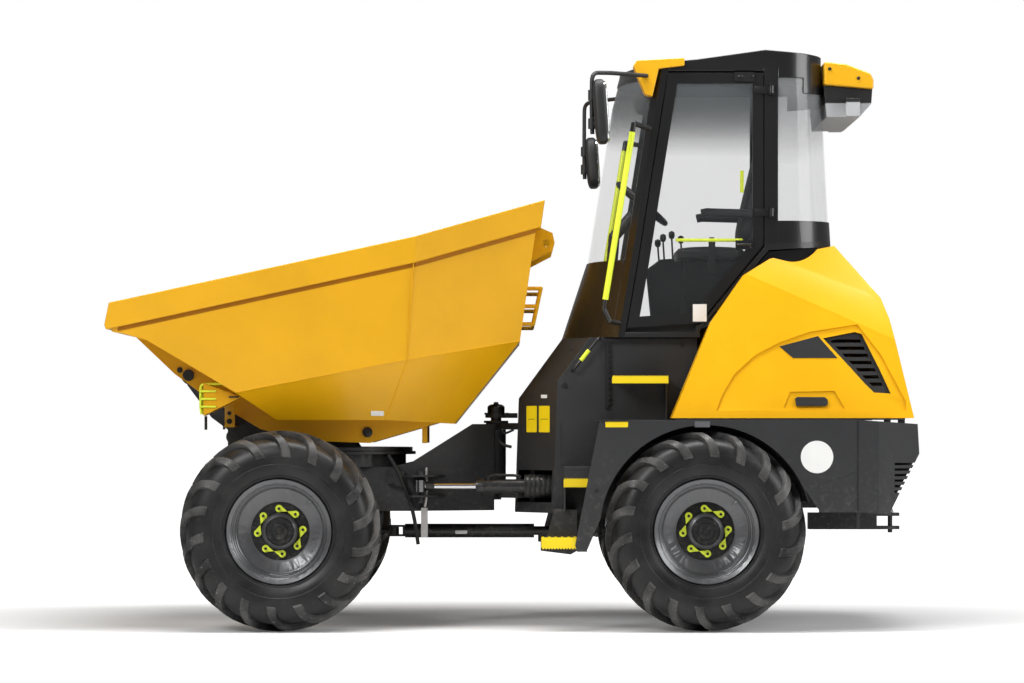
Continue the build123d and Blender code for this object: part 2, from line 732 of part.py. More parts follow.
def access_steps():
    """Tread over the mudguard on each side."""
    tread = box(-900, -570, tower_half, 840, 1450, 1470)
    riser = box(-900, -890, tower_half, 680, guard_top, 1450)
    left = joined(tread, riser)
    return left, mirrored(left)


def engine():
    return box(bumper_front + 5, -1290, -320, 320, rear_frame_top, 1900)


def bumper_form(inset):
    outline = [(bumper_front, 1222), (-2349, 1199), (-2360, 1027), (-2166, 678), (bumper_front, 690)]
    half = guard_half - inset
    body = side_plate(inset_outline(outline, inset), -half, half)
    for side in (-1, 1):
        corner = [(-2100, side * guard_half, 0), (-2100, side * guard_half, 1000), (-2360, side * 860, 0)]
        body = halved(body, corner, inset)
    return body


def bumper():
    body = bumper_form(0) - bumper_form(bumper_wall)
    room = box(rear_frame_tail - 1, bumper_front + 10, -frame_half - 1, frame_half + 1,
               rear_frame_low - 1, rear_frame_top + 1)
    drop = box(-2080, bumper_front + 10, -hitch_half - 1, hitch_half + 1, 640, 720)
    lamp = box(-2400, -2290, *lamp_span)
    body = body - room - drop - lamp - mirrored(lamp)
    # slotted corners below the lamps
    for row in range(6):
        z = 800 + 32 * row
        slot = box(-2400, -2200, 700, 1100, z, z + 14)
        body = body - slot - mirrored(slot)
    hinge_z = bonnet_low + bonnet_hinge_rise
    for side in (-1, 1):
        for y in (bonnet_lug_y - gap - 14, bonnet_lug_y + bonnet_lug_width + gap):
            y0, y1 = sorted((side * y, side * (y + 14)))
            ear = joined(rod((bonnet_hinge_x, y0, hinge_z), (bonnet_hinge_x, y1, hinge_z), bonnet_lug_radius),
                         box(bonnet_hinge_x - bonnet_lug_radius, bonnet_hinge_x + bonnet_lug_radius, y0, y1,
                             1190, hinge_z))
            body = body + ear
        y0, y1 = sorted((side * (bonnet_lug_y - gap), side * (bonnet_lug_y + bonnet_lug_width + gap)))
        body = body + rod((bonnet_hinge_x, y0, hinge_z), (bonnet_hinge_x, y1, hinge_z), bonnet_pin_radius)
    return body


def tail_lamps():
    """Lamp blocks let into the bumper's rear face."""
    left = box(-2352, -2325, *lamp_span)
    return left, mirrored(left)


def hitch():
    beam = joined(box(-2190, -1780, -hitch_half, hitch_half, hitch_low, hitch_high),
                  box(-2075, -1850, -hitch_half, hitch_half, hitch_high - 5, rear_frame_low))
    jaws = []
    for z0, z1 in ((hitch_low, hitch_low + 20), (hitch_high - 20, hitch_high)):
        jaws.append(floor_plate([(-2180, -hitch_half), (-2300, -45), (-2330, -20), (-2330, 20), (-2300, 45),
                                 (-2180, hitch_half)], z0, z1))
    pin = Solid.make_cylinder(14, hitch_high - hitch_low + 50, Plane((-2275, 0, hitch_low - 20)))
    return joined(beam, *jaws, pin)


# ---------------------------------------------------------------- cab

# the cab's plan at four heights: z, x of the front's middle, x of the front pillars, half width, x of the rear
cab_sections = [
    (1708, -291, -612, 680, -1885),
    (2161, -440, -690, 680, -1885),
    (3100, -590, -838, 680, -1830),
    (3290, -640, -870, 676, -1818)]


def cab_plan(section, inset):
    """One plan of the cab: a front arc, two sides and a rounded rear, all moved inwards by inset."""
    z, nose, pillar, half, tail = section
    half = half - inset
    nose = nose - inset
    pillar = pillar - inset * 0.9
    tail = tail + inset
    corner_x = -1600
    corner_y = half - 260
    bend = ((corner_x + tail) / 2 - 50, half - 76)
    return Wire([
        ThreePointArc((pillar, -half, z), (nose, 0, z), (pillar, half, z)),
        Line((pillar, half, z), (corner_x, half, z)),
        ThreePointArc((corner_x, half, z), (bend[0], bend[1], z), (tail, corner_y, z)),
        Line((tail, corner_y, z), (tail, -corner_y, z)),
        ThreePointArc((tail, -corner_y, z), (bend[0], -bend[1], z), (corner_x, -half, z)),
        Line((corner_x, -half, z), (pillar, -half, z))])


def cab_form(inset):
    """The cab's bulk between its plans."""
    return Solid.make_loft([cab_plan(section, inset) for section in cab_sections], True)


def pillar_line(shift):
    """The front pillar's line seen from the side, from the floor to the roof."""
    return [(pillar + shift, z) for z, nose, pillar, half, tail in cab_sections]


def region(points):
    return side_plate(points, -900, 900)


# the slope behind the cab's floor (x, z), along the bonnet's front edge
slope = [(-1091, 1756), (-1497, 2220), (-1900, 2250)]


def under_slope(rise):
    (x0, z0), (x1, z1), (x2, z2) = slope
    return region([(x0, 1600), (x0, z0 + rise), (x1, z1 + rise), (x2 - 100, z2 + rise), (x2 - 100, 1600)])


def cab_shell():
    return cab_form(0) - cab_form(cab_wall)


def cab_pane():
    return cab_form(glass_inset) - cab_form(glass_inset + glass_wall)


def level(z0, z1, x0=-2000, x1=100):
    return region([(x0, z0), (x0, z1), (x1, z1), (x1, z0)])


def bent_floor(rise):
    """The floor, the slope behind it and the shelf under the rear glass, seen from the side."""
    (x0, z0), (x1, z1), (x2, z2) = slope
    return region([(x0, tower_top), (x0, z0), (x1, z1), (x2, z2), (x2, z2 + rise), (x1 + rise / 2, z1 + rise),
                   (x0 + rise * 0.8, z0 + rise * 0.7), (x0 + rise * 0.8, tower_top + rise),
                   (100, tower_top + rise), (100, tower_top)])


def cab():
    """The cab's welded and bonded pieces, apart from its door and roof."""
    shell = cab_shell()
    pane = cab_pane()
    ahead = region(pillar_line(-pillar_width / 2) + [(0, cab_top), (0, tower_top)])
    clear_ahead = region(pillar_line(pillar_width / 2) + [(0, cab_top), (0, tower_top)])
    behind = b_pillar_front - b_pillar_width
    header = level(cab_top - header_drop, cab_top, x1=-1700)
    doorway = side_plate(door_region(-seam), cab_half - cab_wall - seam, 900)
    under = under_slope(0) + bent_floor(floor_wall)
    floor = (bent_floor(floor_wall) & cab_form(0)) - doorway - (shell & clear_ahead) - (shell & ahead)
    side_zone = region(pillar_line(-pillar_width / 2)[::-1] + [
        (slope[0][0], tower_top), (slope[0][0], slope[0][1]), (b_pillar_front, slope[1][1] + floor_wall),
        (b_pillar_front, screen_top)]) - bent_floor(floor_wall)
    return dict(
        cab_floor=[floor],
        cab_front_panel=[shell & clear_ahead & level(tower_top, waist)],
        cab_rear_panel=[(shell & level(2200, rear_waist, x1=behind)) - under],
        cab_posts=[(shell & ahead) - clear_ahead, (shell & level(2200, cab_top, behind, b_pillar_front)) - under],
        windscreen=[pane & clear_ahead & level(waist, screen_top)],
        rear_glass=[(pane & level(rear_waist, screen_top, x1=behind)) - header],
        side_glass=[pane & side_zone & box(-2000, 0, -900, 0, tower_top, screen_top)])


def door_region(shrink):
    """The door's outline (x, z), each edge moved inwards by shrink; the lower rear edge follows the slope."""
    (x0, z0), (x1, z1), (x2, z2) = slope
    line = pillar_line(-pillar_width / 2)
    foot_x = line[0][0] + (line[1][0] - line[0][0]) * (z0 - line[0][1]) / (line[1][1] - line[0][1])
    points = [(foot_x, z0), line[1], line[2], (line[3][0] + 8, screen_top + 35),
              (b_pillar_front, screen_top + 35), (b_pillar_front, z1 + floor_wall), (x0, z0 + floor_wall)]
    return inset_outline(points, shrink)


def door():
    """The welded frame with its hinge arms, and the pane bonded into it."""
    shell = cab_shell()
    left = 400
    leaf = shell & side_plate(door_region(seam), left, 900)
    window = side_plate(door_region(seam + door_band), left, 900)
    frame = leaf - window
    glass = cab_pane() & side_plate(door_region(seam + door_band), left, 900)
    hinge_x = b_pillar_front - b_pillar_width / 2
    for z in hinge_heights:
        arm = box(hinge_x, b_pillar_front + 60, cab_half + gap, cab_half + 10, z - 22, z + 22)
        pad = box(b_pillar_front + 10, b_pillar_front + 60, cab_half - 20, cab_half + 10, z - 22, z + 22)
        knuckle = Solid.make_cylinder(15, 44, Plane((hinge_x, cab_half + hinge_out, z - 22)))
        web = box(hinge_x - 8, hinge_x + 8, cab_half + 4, cab_half + hinge_out, z - 22, z + 22)
        bore = Solid.make_cylinder(7 + gap, 60, Plane((hinge_x, cab_half + hinge_out, z - 30)))
        frame = joined(frame, arm, pad, knuckle, web) - bore
    return frame, glass


hinge_heights = (2440.0, 3160.0)


def door_hinge_pins():
    """Pins of the door's hinges on their brackets, welded to the rear pillar."""
    hinge_x = b_pillar_front - b_pillar_width / 2
    pins = []
    for z in hinge_heights:
        low = z - 22 - gap - 10
        pin = Solid.make_cylinder(7, 44 + 2 * gap + 20, Plane((hinge_x, cab_half + hinge_out, low)))
        part = pin
        for plate in (low, z + 22 + gap):
            part = part + box(hinge_x - 16, hinge_x + 16, cab_half - 10, cab_half + hinge_out + 12, plate, plate + 10)
        pins.append(part)
    return pins


def roof():
    """Crowned roof on its header ring, which drops as a band behind the rear glass."""
    section = cab_sections[-1]
    z, nose, pillar, half, tail = section
    cap = Solid.extrude(Face(cab_plan(section, 0)), Vector(0, 0, roof_rise))
    crown = region([(nose + 20, z - 5), (nose + 20, z + 10), (-1076, z + 50), (-1476, z + roof_rise),
                    (tail - 10, z + roof_rise - 30), (tail - 10, z - 5)])
    shell = cab_shell()
    posts = region(pillar_line(-pillar_width / 2) + pillar_line(pillar_width / 2)[::-1])
    behind = b_pillar_front - b_pillar_width
    header = (shell & level(screen_top, z)) + (shell & level(z - header_drop, z, x1=-1700))
    header = header - posts - level(screen_top - 5, z, behind, b_pillar_front)
    doorway = side_plate(door_region(-seam), cab_half - cab_wall - seam, 900)
    return joined(cap & crown, header - doorway)


def roof_caps():
    """Lamp caps on the roof's front corners and the visor over the rear glass."""
    outline = [(-700, 3300), (-720, 3330), (-1000, 3345), (-1000, 3300), (-850, 3282), (-812, 3118), (-770, 3130)]
    left = side_plate(outline, 560, 706) - cab_form(0) - roof()
    return left, mirrored(left)


def bonnet_form(inset):
    outline = [(-914, bonnet_low), (-1145, 1789), (-1340, 2068), (-1501, 2168), (-1886, 2248), (-2146, 1936),
               (-2191, 1811), (-2315, bonnet_low)]
    half = bonnet_half + 40 - inset
    body = side_plate(inset_outline(outline, inset), -half, half)
    for side in (-1, 1):
        lower = [(-914, side * bonnet_half, bonnet_low), (-2315, side * bonnet_half, bonnet_low),
                 (-1353, side * 765, 2078)]
        upper = [(-1353, side * 765, 2078), (-2156, side * 850, 1745), (-1886, side * 600, 2248)]
        body = halved(body, lower, inset)
        body = halved(body, upper, inset)
    return body


# the intake behind the bonnet's side (x, z)
intake = [(-1799, 1698), (-1985, 1735), (-2025, 1723), (-2124, 1515), (-2185, 1375), (-2088, 1381), (-2037, 1431),
          (-1953, 1527)]


# the recess in the bonnet's side, its handle pocket and the bare plate (x, z)
recess = [(-1171, 1277), (-1210, 1376), (-1281, 1491), (-1403, 1601), (-1549, 1675), (-1720, 1735), (-2000, 1779),
          (-2135, 1600), (-2270, 1330), (-2270, 1277)]
pocket = [(-1560, 1290), (-1600, 1385), (-1860, 1390), (-1915, 1290)]
badge = [(-1543, 1650), (-1770, 1711), (-1880, 1582), (-1622, 1582)]


def bonnet():
    """A tilting shell round the cab's rear, open below and towards the cab."""
    cavity = bonnet_form(bonnet_wall)
    body = bonnet_form(0) - cavity - cavity.moved(Location((0, 0, -2 * bonnet_wall)))
    section = (1000, 0, -400, cab_half + seam + 4, cab_sections[0][4] - seam - 4)
    cab_room = Solid.extrude(Face(cab_plan(section, 0)), Vector(0, 0, 1500))
    body = body - cab_room
    for outline, depth in ((recess, recess_depth), (pocket, pocket_depth)):
        sunk = side_plate(outline, 600, 1100) - bonnet_form(depth)
        body = body - sunk - mirrored(sunk)
    window = side_plate(intake, 600, 1100)
    body = body - window - mirrored(window)
    hinge_z = bonnet_low + bonnet_hinge_rise
    for side in (-1, 1):
        for y in (bonnet_lug_y - 16, bonnet_lug_y + bonnet_lug_width):
            y0, y1 = sorted((side * y, side * (y + 16)))
            body = body - rod((bonnet_hinge_x, y0, hinge_z), (bonnet_hinge_x, y1, hinge_z), bonnet_lug_radius + seam)
        y0, y1 = sorted((side * bonnet_lug_y, side * (bonnet_lug_y + bonnet_lug_width)))
        body = body + rod((bonnet_hinge_x, y0, hinge_z), (bonnet_hinge_x, y1, hinge_z), bonnet_lug_radius)
        body = body - rod((bonnet_hinge_x, y0, hinge_z), (bonnet_hinge_x, y1, hinge_z), bonnet_pin_radius + gap)
    return body


def bonnet_grilles():
    """Slotted panels that close the bonnet's intakes."""
    skin = bonnet_form(bonnet_wall) - bonnet_form(bonnet_wall + 14)
    left = skin & side_plate(inset_outline(intake, -20), 600, 1100)
    opening = side_plate(inset_outline(intake, 22), 600, 1100)
    for row in range(7):
        z = 1420 + 42 * row
        slot = opening & box(-2300, -1700, 600, 1100, z, z + 20)
        if slot is not None:
            left = left - slot
    return left, mirrored(left)


def badge_plates():
    """Bare plates on the floors of the bonnet's recesses."""
    left = (bonnet_form(recess_depth - 3) - bonnet_form(recess_depth)) & side_plate(badge, 600, 1100)
    return left, mirrored(left)


def bonnet_handles():
    """Grips across the pockets of the bonnet's sides."""
    grip = side_plate([(-1635, 1303), (-1628, 1345), (-1640, 1355), (-1800, 1355), (-1817, 1340), (-1817, 1312),
                       (-1805, 1303)], 600, 1100)
    left = (bonnet_form(0) - bonnet_form(pocket_depth)) & grip
    return left, mirrored(left)


def rear_grille():
    """Raised slotted panel on the bonnet's rear face."""
    panel = (bonnet_form(-22) - bonnet_form(0)) & box(-2400, -2150, -560, 560, 1275, 1725)
    for row in range(9):
        z = 1310 + 44 * row
        panel = panel - box(-2400, -2150, -500, 500, z, z + 22)
    return panel


def rear_visor():
    return side_plate([(-1828, 3197), (-1828, 3333), (-1960, 3318), (-2102, 3264), (-2119, 3226), (-2119, 3172)],
                      -600, 600)


def visor_housing():
    """Folded housing under the visor with a work lamp at each side."""
    body = side_plate([(-1828, 3197), (-1846, 3010), (-2040, 3010), (-2109, 3088), (-2115, 3172)], -560, 560)
    for side in (-1, 1):
        y0, y1 = sorted((side * 560, side * 575))
        body = body + box(-2010, -1970, y0, y1, 3060, 3110)
        y0, y1 = sorted((side * 575, side * 635))
        body = body + box(-2035, -1955, y0, y1, 3010, 3115)
    return body


def path(points, radius):
    """A round bar through points, with a ball at each bend."""
    body = rod(points[0], points[1], radius)
    for start, end in zip(points[1:], points[2:]):
        body = body + Solid.make_sphere(radius, Plane(start), -90, 90, 360) + rod(start, end, radius)
    return body


def mirrors():
    """Left and right mirrors on their arms; the right one hangs lower."""
    solids = []
    caps = roof_caps()
    for side, low, high in ((1, 2811, 3185), (-1, 2687, 3010)):
        arm = path([(-800, side * 695, 3240), (-450, side * 1060, 3225), (-450, side * 1060, low + 60)], 13)
        for cap in caps:
            arm = arm - cap
        y0, y1 = sorted((side * 980, side * 1180))
        head = box(-540, -470, y0, y1, low, high)
        stem = box(-475, -445, side * 1060 - 20, side * 1060 + 20, low + 80, low + 160)
        stem_top = box(-475, -445, side * 1060 - 20, side * 1060 + 20, high - 120, high - 60)
        solids.append(joined(arm, head, stem, stem_top))
    return solids


def grab_rails():
    left = path([(-800, 681, 2930), (-700, 780, 2955), (-526, 780, 1873), (-560, 760, 1800), (-618, 681, 1790)], 15)
    return left, mirrored(left)


def seat_parts():
    (x0, z0), (x1, z1), (x2, z2) = slope
    top = 2175
    foot = tower_top + floor_wall
    run = (x0 + floor_wall * 0.8, z0 + floor_wall * 0.7)
    rise = (x1 + floor_wall / 2, z1 + floor_wall)
    back_x = -1390
    back_z = run[1] + (run[0] - back_x) * (rise[1] - run[1]) / (run[0] - rise[0])
    base = side_plate([(-1020, foot), (-1020, top), (back_x, top), (back_x, back_z), run, (run[0], foot)], -210, 210)
    cushion = box(-1400, -960, -250, 250, top, top + 95)
    back = side_plate([(-1340, top + 96), (-1440, 2290), (-1575, 2960), (-1490, 2985)], -240, 240)
    return base, cushion, back


def controls():
    """Steering column with its wheel, and the side console."""
    foot = tower_top + floor_wall
    centre = Vector(-775, 0, 2530)
    tilt = Vector(-0.643, 0, 0.766)
    neck = centre - tilt * 260
    column = path([(-560, 0, foot), neck, centre], 34)
    ring = Solid.make_torus(185, 15, Plane(centre, z_dir=tilt))
    spokes = [rod((centre - Vector(0, 185, 0)), (centre + Vector(0, 185, 0)), 11)]
    console = side_plate([(-860, foot), (-820, 2150), (-900, 2210), (-1180, 2230), (-1180, 2000), (-1120, foot)],
                         -600, -380)
    floor = bent_floor(floor_wall)
    return joined(column, ring, *spokes) - floor, console - floor


def place_wheel(shape, axle_x, side):
    """Turns a shape made round the Y axis, outboard towards +Y, to its place on an axle."""
    if side < 0:
        shape = mirrored(shape)
    return shape.moved(Location((axle_x, side * track_half, tyre_radius)))


def build():
    os.makedirs("parts", exist_ok=True)
    wheel_tyre = tyre()
    wheel_rim = rim()
    for tag, axle_x, side in (("fl", front_axle_x, 1), ("fr", front_axle_x, -1),
                              ("rl", rear_axle_x, 1), ("rr", rear_axle_x, -1)):
        save("tyre_" + tag, place_wheel(wheel_tyre, axle_x, side))
        save("rim_" + tag, place_wheel(wheel_rim, axle_x, side))
    front_axle = axle(front_axle_x, -1, front_frame_low) + prop_eye(front_joint_x, front_axle_x - nose_length + 5)
    rear_axle = axle(rear_axle_x, 1, rear_frame_low) + prop_eye(rear_joint_x, rear_axle_x + nose_length - 5)
    save("front_axle", front_axle)
    save("rear_axle", rear_axle)
    save("front_chassis", front_chassis())
    save("turntable", turntable())
    save("prop_front", prop_front())
    save("prop_rear", prop_rear())
    save("steer_barrel", steer_barrel())
    save("steer_rod", steer_rod())
    save("swivel_frame", swivel_frame())
    save("lamp_guards", *lamp_guards())
    save("front_lamps", *front_lamps())
    save("tip_barrel", tip_barrel())
    save("tip_rod", tip_rod())
    pan, sides, band = skip_walls()
    save("skip_pan", pan)
    save("skip_sides", *sides)
    save("skip_rim", *band)
    save("skip_beams", *skip_subframe())
    save("rear_chassis", rear_chassis())
    save("tower", tower())
    save("mudguards", *mudguards())
    save("bottom_steps", *bottom_steps())
    save("access_steps", *access_steps())
    save("engine_block", engine())
    save("bumper", bumper())
    save("tail_lamps", *tail_lamps())
    save("tow_hitch", hitch())
    pieces = cab()
    pieces["cab_posts"] += door_hinge_pins()
    for name, solids in pieces.items():
        save(name, *solids)
    save("cab_roof", roof())
    save("roof_caps", *roof_caps())
    save("rear_visor", rear_visor())
    save("visor_housing", visor_housing())
    save("mirrors", *mirrors())
    save("grab_rails", *grab_rails())
    base, cushion, back = seat_parts()
    save("seat_base", base)
    save("seat_cushion", cushion)
    save("seat_back", back)
    column, console = controls()
    save("steering_column", column)
    save("console", console)
    frame, glass = door()
    save("door_frame", frame)
    save("door_glass", glass)
    save("bonnet", bonnet())
    save("bonnet_grilles", *bonnet_grilles(), rear_grille())
    save("bonnet_trim", *badge_plates(), *bonnet_handles())


build()
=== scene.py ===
import json
import math
import bpy
import bmesh
import numpy as np
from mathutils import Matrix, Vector


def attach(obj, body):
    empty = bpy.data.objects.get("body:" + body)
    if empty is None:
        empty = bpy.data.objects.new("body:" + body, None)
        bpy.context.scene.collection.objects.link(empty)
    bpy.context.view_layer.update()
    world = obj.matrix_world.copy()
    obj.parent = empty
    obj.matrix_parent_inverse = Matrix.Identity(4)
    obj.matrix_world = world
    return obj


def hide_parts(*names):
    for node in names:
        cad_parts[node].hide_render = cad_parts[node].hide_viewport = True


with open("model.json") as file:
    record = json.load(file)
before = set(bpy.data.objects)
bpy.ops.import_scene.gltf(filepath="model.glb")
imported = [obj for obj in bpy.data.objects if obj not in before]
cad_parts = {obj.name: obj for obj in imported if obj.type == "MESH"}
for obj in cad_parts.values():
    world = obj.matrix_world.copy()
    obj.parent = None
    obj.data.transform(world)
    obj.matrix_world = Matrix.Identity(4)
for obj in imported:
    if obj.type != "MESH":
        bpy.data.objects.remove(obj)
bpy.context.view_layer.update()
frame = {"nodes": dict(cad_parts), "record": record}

nodes = frame["nodes"]
scene = bpy.context.scene
tau = 2 * math.pi


# a dictionary whose values can be read by name
class Table(dict):
    __getattr__ = dict.__getitem__


print("frame loaded:", len(nodes), "nodes")


# shader maths: a wrapped socket that adds Math nodes when used in an expression
class Value:
    def __init__(self, shader, socket):
        self.shader = shader
        self.socket = socket

    def clamped(self, low, high):
        values = {"Value": self, "From Min": low, "From Max": high}
        return self.shader.node("ShaderNodeMapRange", dict(clamp=True), values)


def operator(operation, swapped=False):
    def apply(self, other):
        pair = [other, self] if swapped else [self, other]
        return self.shader.node("ShaderNodeMath", dict(operation=operation), pair)
    return apply


Value.__add__ = Value.__radd__ = operator("ADD")
Value.__mul__ = Value.__rmul__ = operator("MULTIPLY")
Value.__sub__, Value.__rsub__ = operator("SUBTRACT"), operator("SUBTRACT", swapped=True)
Value.__pow__ = operator("POWER")


class Shader:
    def __init__(self, name):
        self.material = bpy.data.materials.new(name)
        self.material.use_nodes = True
        self.tree = self.material.node_tree
        self.surface = self.tree.nodes["Principled BSDF"]
        self.place = self.tree.nodes.new("ShaderNodeTexCoord").outputs["Object"]

    # a link, a value or a colour goes into a socket
    def put(self, socket, value):
        if isinstance(value, Value):
            self.tree.links.new(value.socket, socket)
        elif isinstance(value, bpy.types.NodeSocket):
            self.tree.links.new(value, socket)
        else:
            socket.default_value = (*value, 1.0) if socket.type == "RGBA" and len(value) == 3 else value

    # any node: its type, its settings, then the values or links of its sockets
    def node(self, kind, settings=None, values=None, out=0):
        made = self.tree.nodes.new(kind)
        for key, value in (settings or {}).items():
            setattr(made, key, value)
        for key, value in values.items() if isinstance(values, dict) else enumerate(values or []):
            self.put(made.inputs[key], value)
        return Value(self, made.outputs[out])

    def noise(self, scale, detail=3.0, rough=0.55, at=None):
        return self.node("ShaderNodeTexNoise", None, {"Vector": at or self.place, "Scale": scale, "Detail": detail,
            "Roughness": rough})

    def mixed(self, factor, first, second):
        return self.node("ShaderNodeMix", dict(data_type="RGBA"), {0: factor, 6: first, 7: second}, out=2)

    def height(self):
        return self.node("ShaderNodeSeparateXYZ", None, {"Vector": self.place}, out=2)

    def bump(self, height, strength, distance):
        return self.node("ShaderNodeBump", None, {"Strength": strength, "Distance": distance, "Height": height})

    def finish(self, **sockets):
        for key, value in sockets.items():
            self.put(self.surface.inputs[key.replace("_", " ")], value)
        return self.material


# a painted surface: slow drift of colour, fine orange peel, a little dust low down
def paint(name, colour, rough, coat=0.0, peel=0.12, grain=260.0, dust=0.10, drift=0.10, metal=0.0, shine=0.5,
        driftScale=2.3, driftSpan=(0.35, 0.65), dustSpan=(0.25, 1.15), speckScale=34.0, speckSpan=(0.52, 0.78),
        dustColour=(0.30, 0.27, 0.22), dustGain=4.0, roughDrift=0.10, roughDust=0.12, coatRough=0.06,
        peelDepth=0.0006):
    shader = Shader(name)
    slow = shader.noise(driftScale, 4.0)
    fine = shader.noise(grain, 2.0, 0.6)
    low = 1.0 - shader.height().clamped(*dustSpan)
    specks = shader.noise(speckScale, 6.0, 0.7).clamped(*speckSpan)
    darker = tuple(c * (1 - drift) for c in colour)
    lighter = tuple(min(1.0, c * (1 + drift)) for c in colour)
    base = shader.mixed(slow.clamped(*driftSpan), darker, lighter)
    dusty = shader.mixed(low * specks * dust * dustGain, base, dustColour)
    roughness = slow * roughDrift + (rough - roughDrift / 2) + low * roughDust
    return shader.finish(Base_Color=dusty, Roughness=roughness, Metallic=metal, Coat_Weight=coat,
        Specular_IOR_Level=shine, Coat_Roughness=coatRough, Normal=shader.bump(fine, peel, peelDepth))


# moulded plastic or rubber: grain, faint mottling
mouldSet = Table(mottleScale=5.0, mottleSpan=(0.3, 0.7), roughDrift=0.12, grainDepth=0.0008)


def moulded(name, colour, rough, grain=420.0, bump=0.25, mottle=0.18, sheen=0.0):
    shader = Shader(name)
    slow = shader.noise(mouldSet.mottleScale, 4.0)
    fine = shader.noise(grain, 2.0, 0.5)
    base = shader.mixed(slow.clamped(*mouldSet.mottleSpan), tuple(c * (1 - mottle) for c in colour),
        tuple(c * (1 + mottle) for c in colour))
    roughness = slow * mouldSet.roughDrift + (rough - mouldSet.roughDrift / 2)
    return shader.finish(Base_Color=base, Roughness=roughness, Sheen_Weight=sheen, Normal=shader.bump(fine, bump,
        mouldSet.grainDepth))


# bare metal: fine brushed lines, drawn out by the streak
def bareMetal(name, colour, rough, streak=(1.0, 1.0, 1.0), scratch=0.25, lineScale=90.0, lineSpan=(0.3, 0.7),
        lineShade=0.86, lineBump=0.05, lineDepth=0.0004):
    shader = Shader(name)
    stretched = shader.node("ShaderNodeMapping", None, {"Vector": shader.place, "Scale": streak})
    lines = shader.noise(lineScale, 5.0, 0.65, at=stretched.socket)
    shaded = tuple(c * lineShade for c in colour)
    base = shader.mixed(lines.clamped(*lineSpan), shaded, colour)
    return shader.finish(Base_Color=base, Metallic=1.0, Roughness=lines * scratch + (rough - scratch / 2),
        Normal=shader.bump(lines, lineBump, lineDepth))


# tyre rubber: near black; where the attribute "tread" is high, mostly on the lug tops, it is paled with dust and pale
# specks, partly dust and partly painted highlight
def tyreRubber(dark=(0.0045, 0.0045, 0.0048), light=(0.011, 0.011, 0.0115), mottleScale=6.0, mottleSpan=(0.3, 0.7),
        dust=(0.095, 0.093, 0.090), dustSpan=(0.35, 0.65), gritAndHighlight=(0.60, 0.59, 0.57), gritAndHighlightScale=70.0,
        gritAndHighlightSpan=(0.60, 0.72), dustAndHighlightWeight=0.8, rough=0.30, roughDrift=0.2, shine=0.35, grain=190.0, bump=0.25,
        grainDepth=0.001):
    shader = Shader("tyreRubber")
    slow = shader.noise(mottleScale, 5.0)
    fine = shader.noise(grain, 3.0)
    gritAndHighlightSpecks = shader.noise(gritAndHighlightScale, 8.0, 0.75).clamped(*gritAndHighlightSpan)
    dustAndHighlightAmount = shader.node("ShaderNodeAttribute", dict(attribute_name="tread"), None, out=2)
    base = shader.mixed(slow.clamped(*mottleSpan), dark, light)
    dusty = shader.mixed(dustAndHighlightAmount * dustAndHighlightWeight * slow.clamped(*dustSpan), base, dust)
    dustedAndHighlighted = shader.mixed(dustAndHighlightAmount * gritAndHighlightSpecks * dustAndHighlightWeight, dusty, gritAndHighlight)
    return shader.finish(Base_Color=dustedAndHighlighted, Roughness=slow * roughDrift + rough, Specular_IOR_Level=shine,
        Normal=shader.bump(fine, bump, grainDepth))


# glass: clear but for faint smears, with a smoky band that begins at one height and is full at another
def clearGlass(name, tint, alpha, rough=0.02, band=None, smearScale=3.0, smear=0.03, shine=0.6):
    shader = Shader(name)
    smears = shader.noise(smearScale, 5.0)
    seen = smears * smear + alpha
    if band:
        low, high, depth = band
        seen = seen + shader.height().clamped(low, high) * depth
    return shader.finish(Base_Color=tint, Roughness=smears * smear + rough, Alpha=seen, Specular_IOR_Level=shine)


# bright plates and rails with painted light: a little emission makes them glow, though they are no lamps
def glow(name, colour, strength, mottleScale=8.0, shade=0.93, rough=0.35):
    shader = Shader(name)
    base = shader.mixed(shader.noise(mottleScale), tuple(c * shade for c in colour), colour)
    return shader.finish(Base_Color=base, Roughness=rough, Emission_Color=base, Emission_Strength=strength)


# two colours of plastic that meet at one height
def twoTone(name, low, high, start, end, rough=0.45, grain=420.0, bump=0.2):
    shader = Shader(name)
    base = shader.mixed(shader.height().clamped(start, end), low, high)
    return shader.finish(Base_Color=base, Roughness=rough, Normal=shader.bump(shader.noise(grain, 2.0), bump,
        mouldSet.grainDepth))


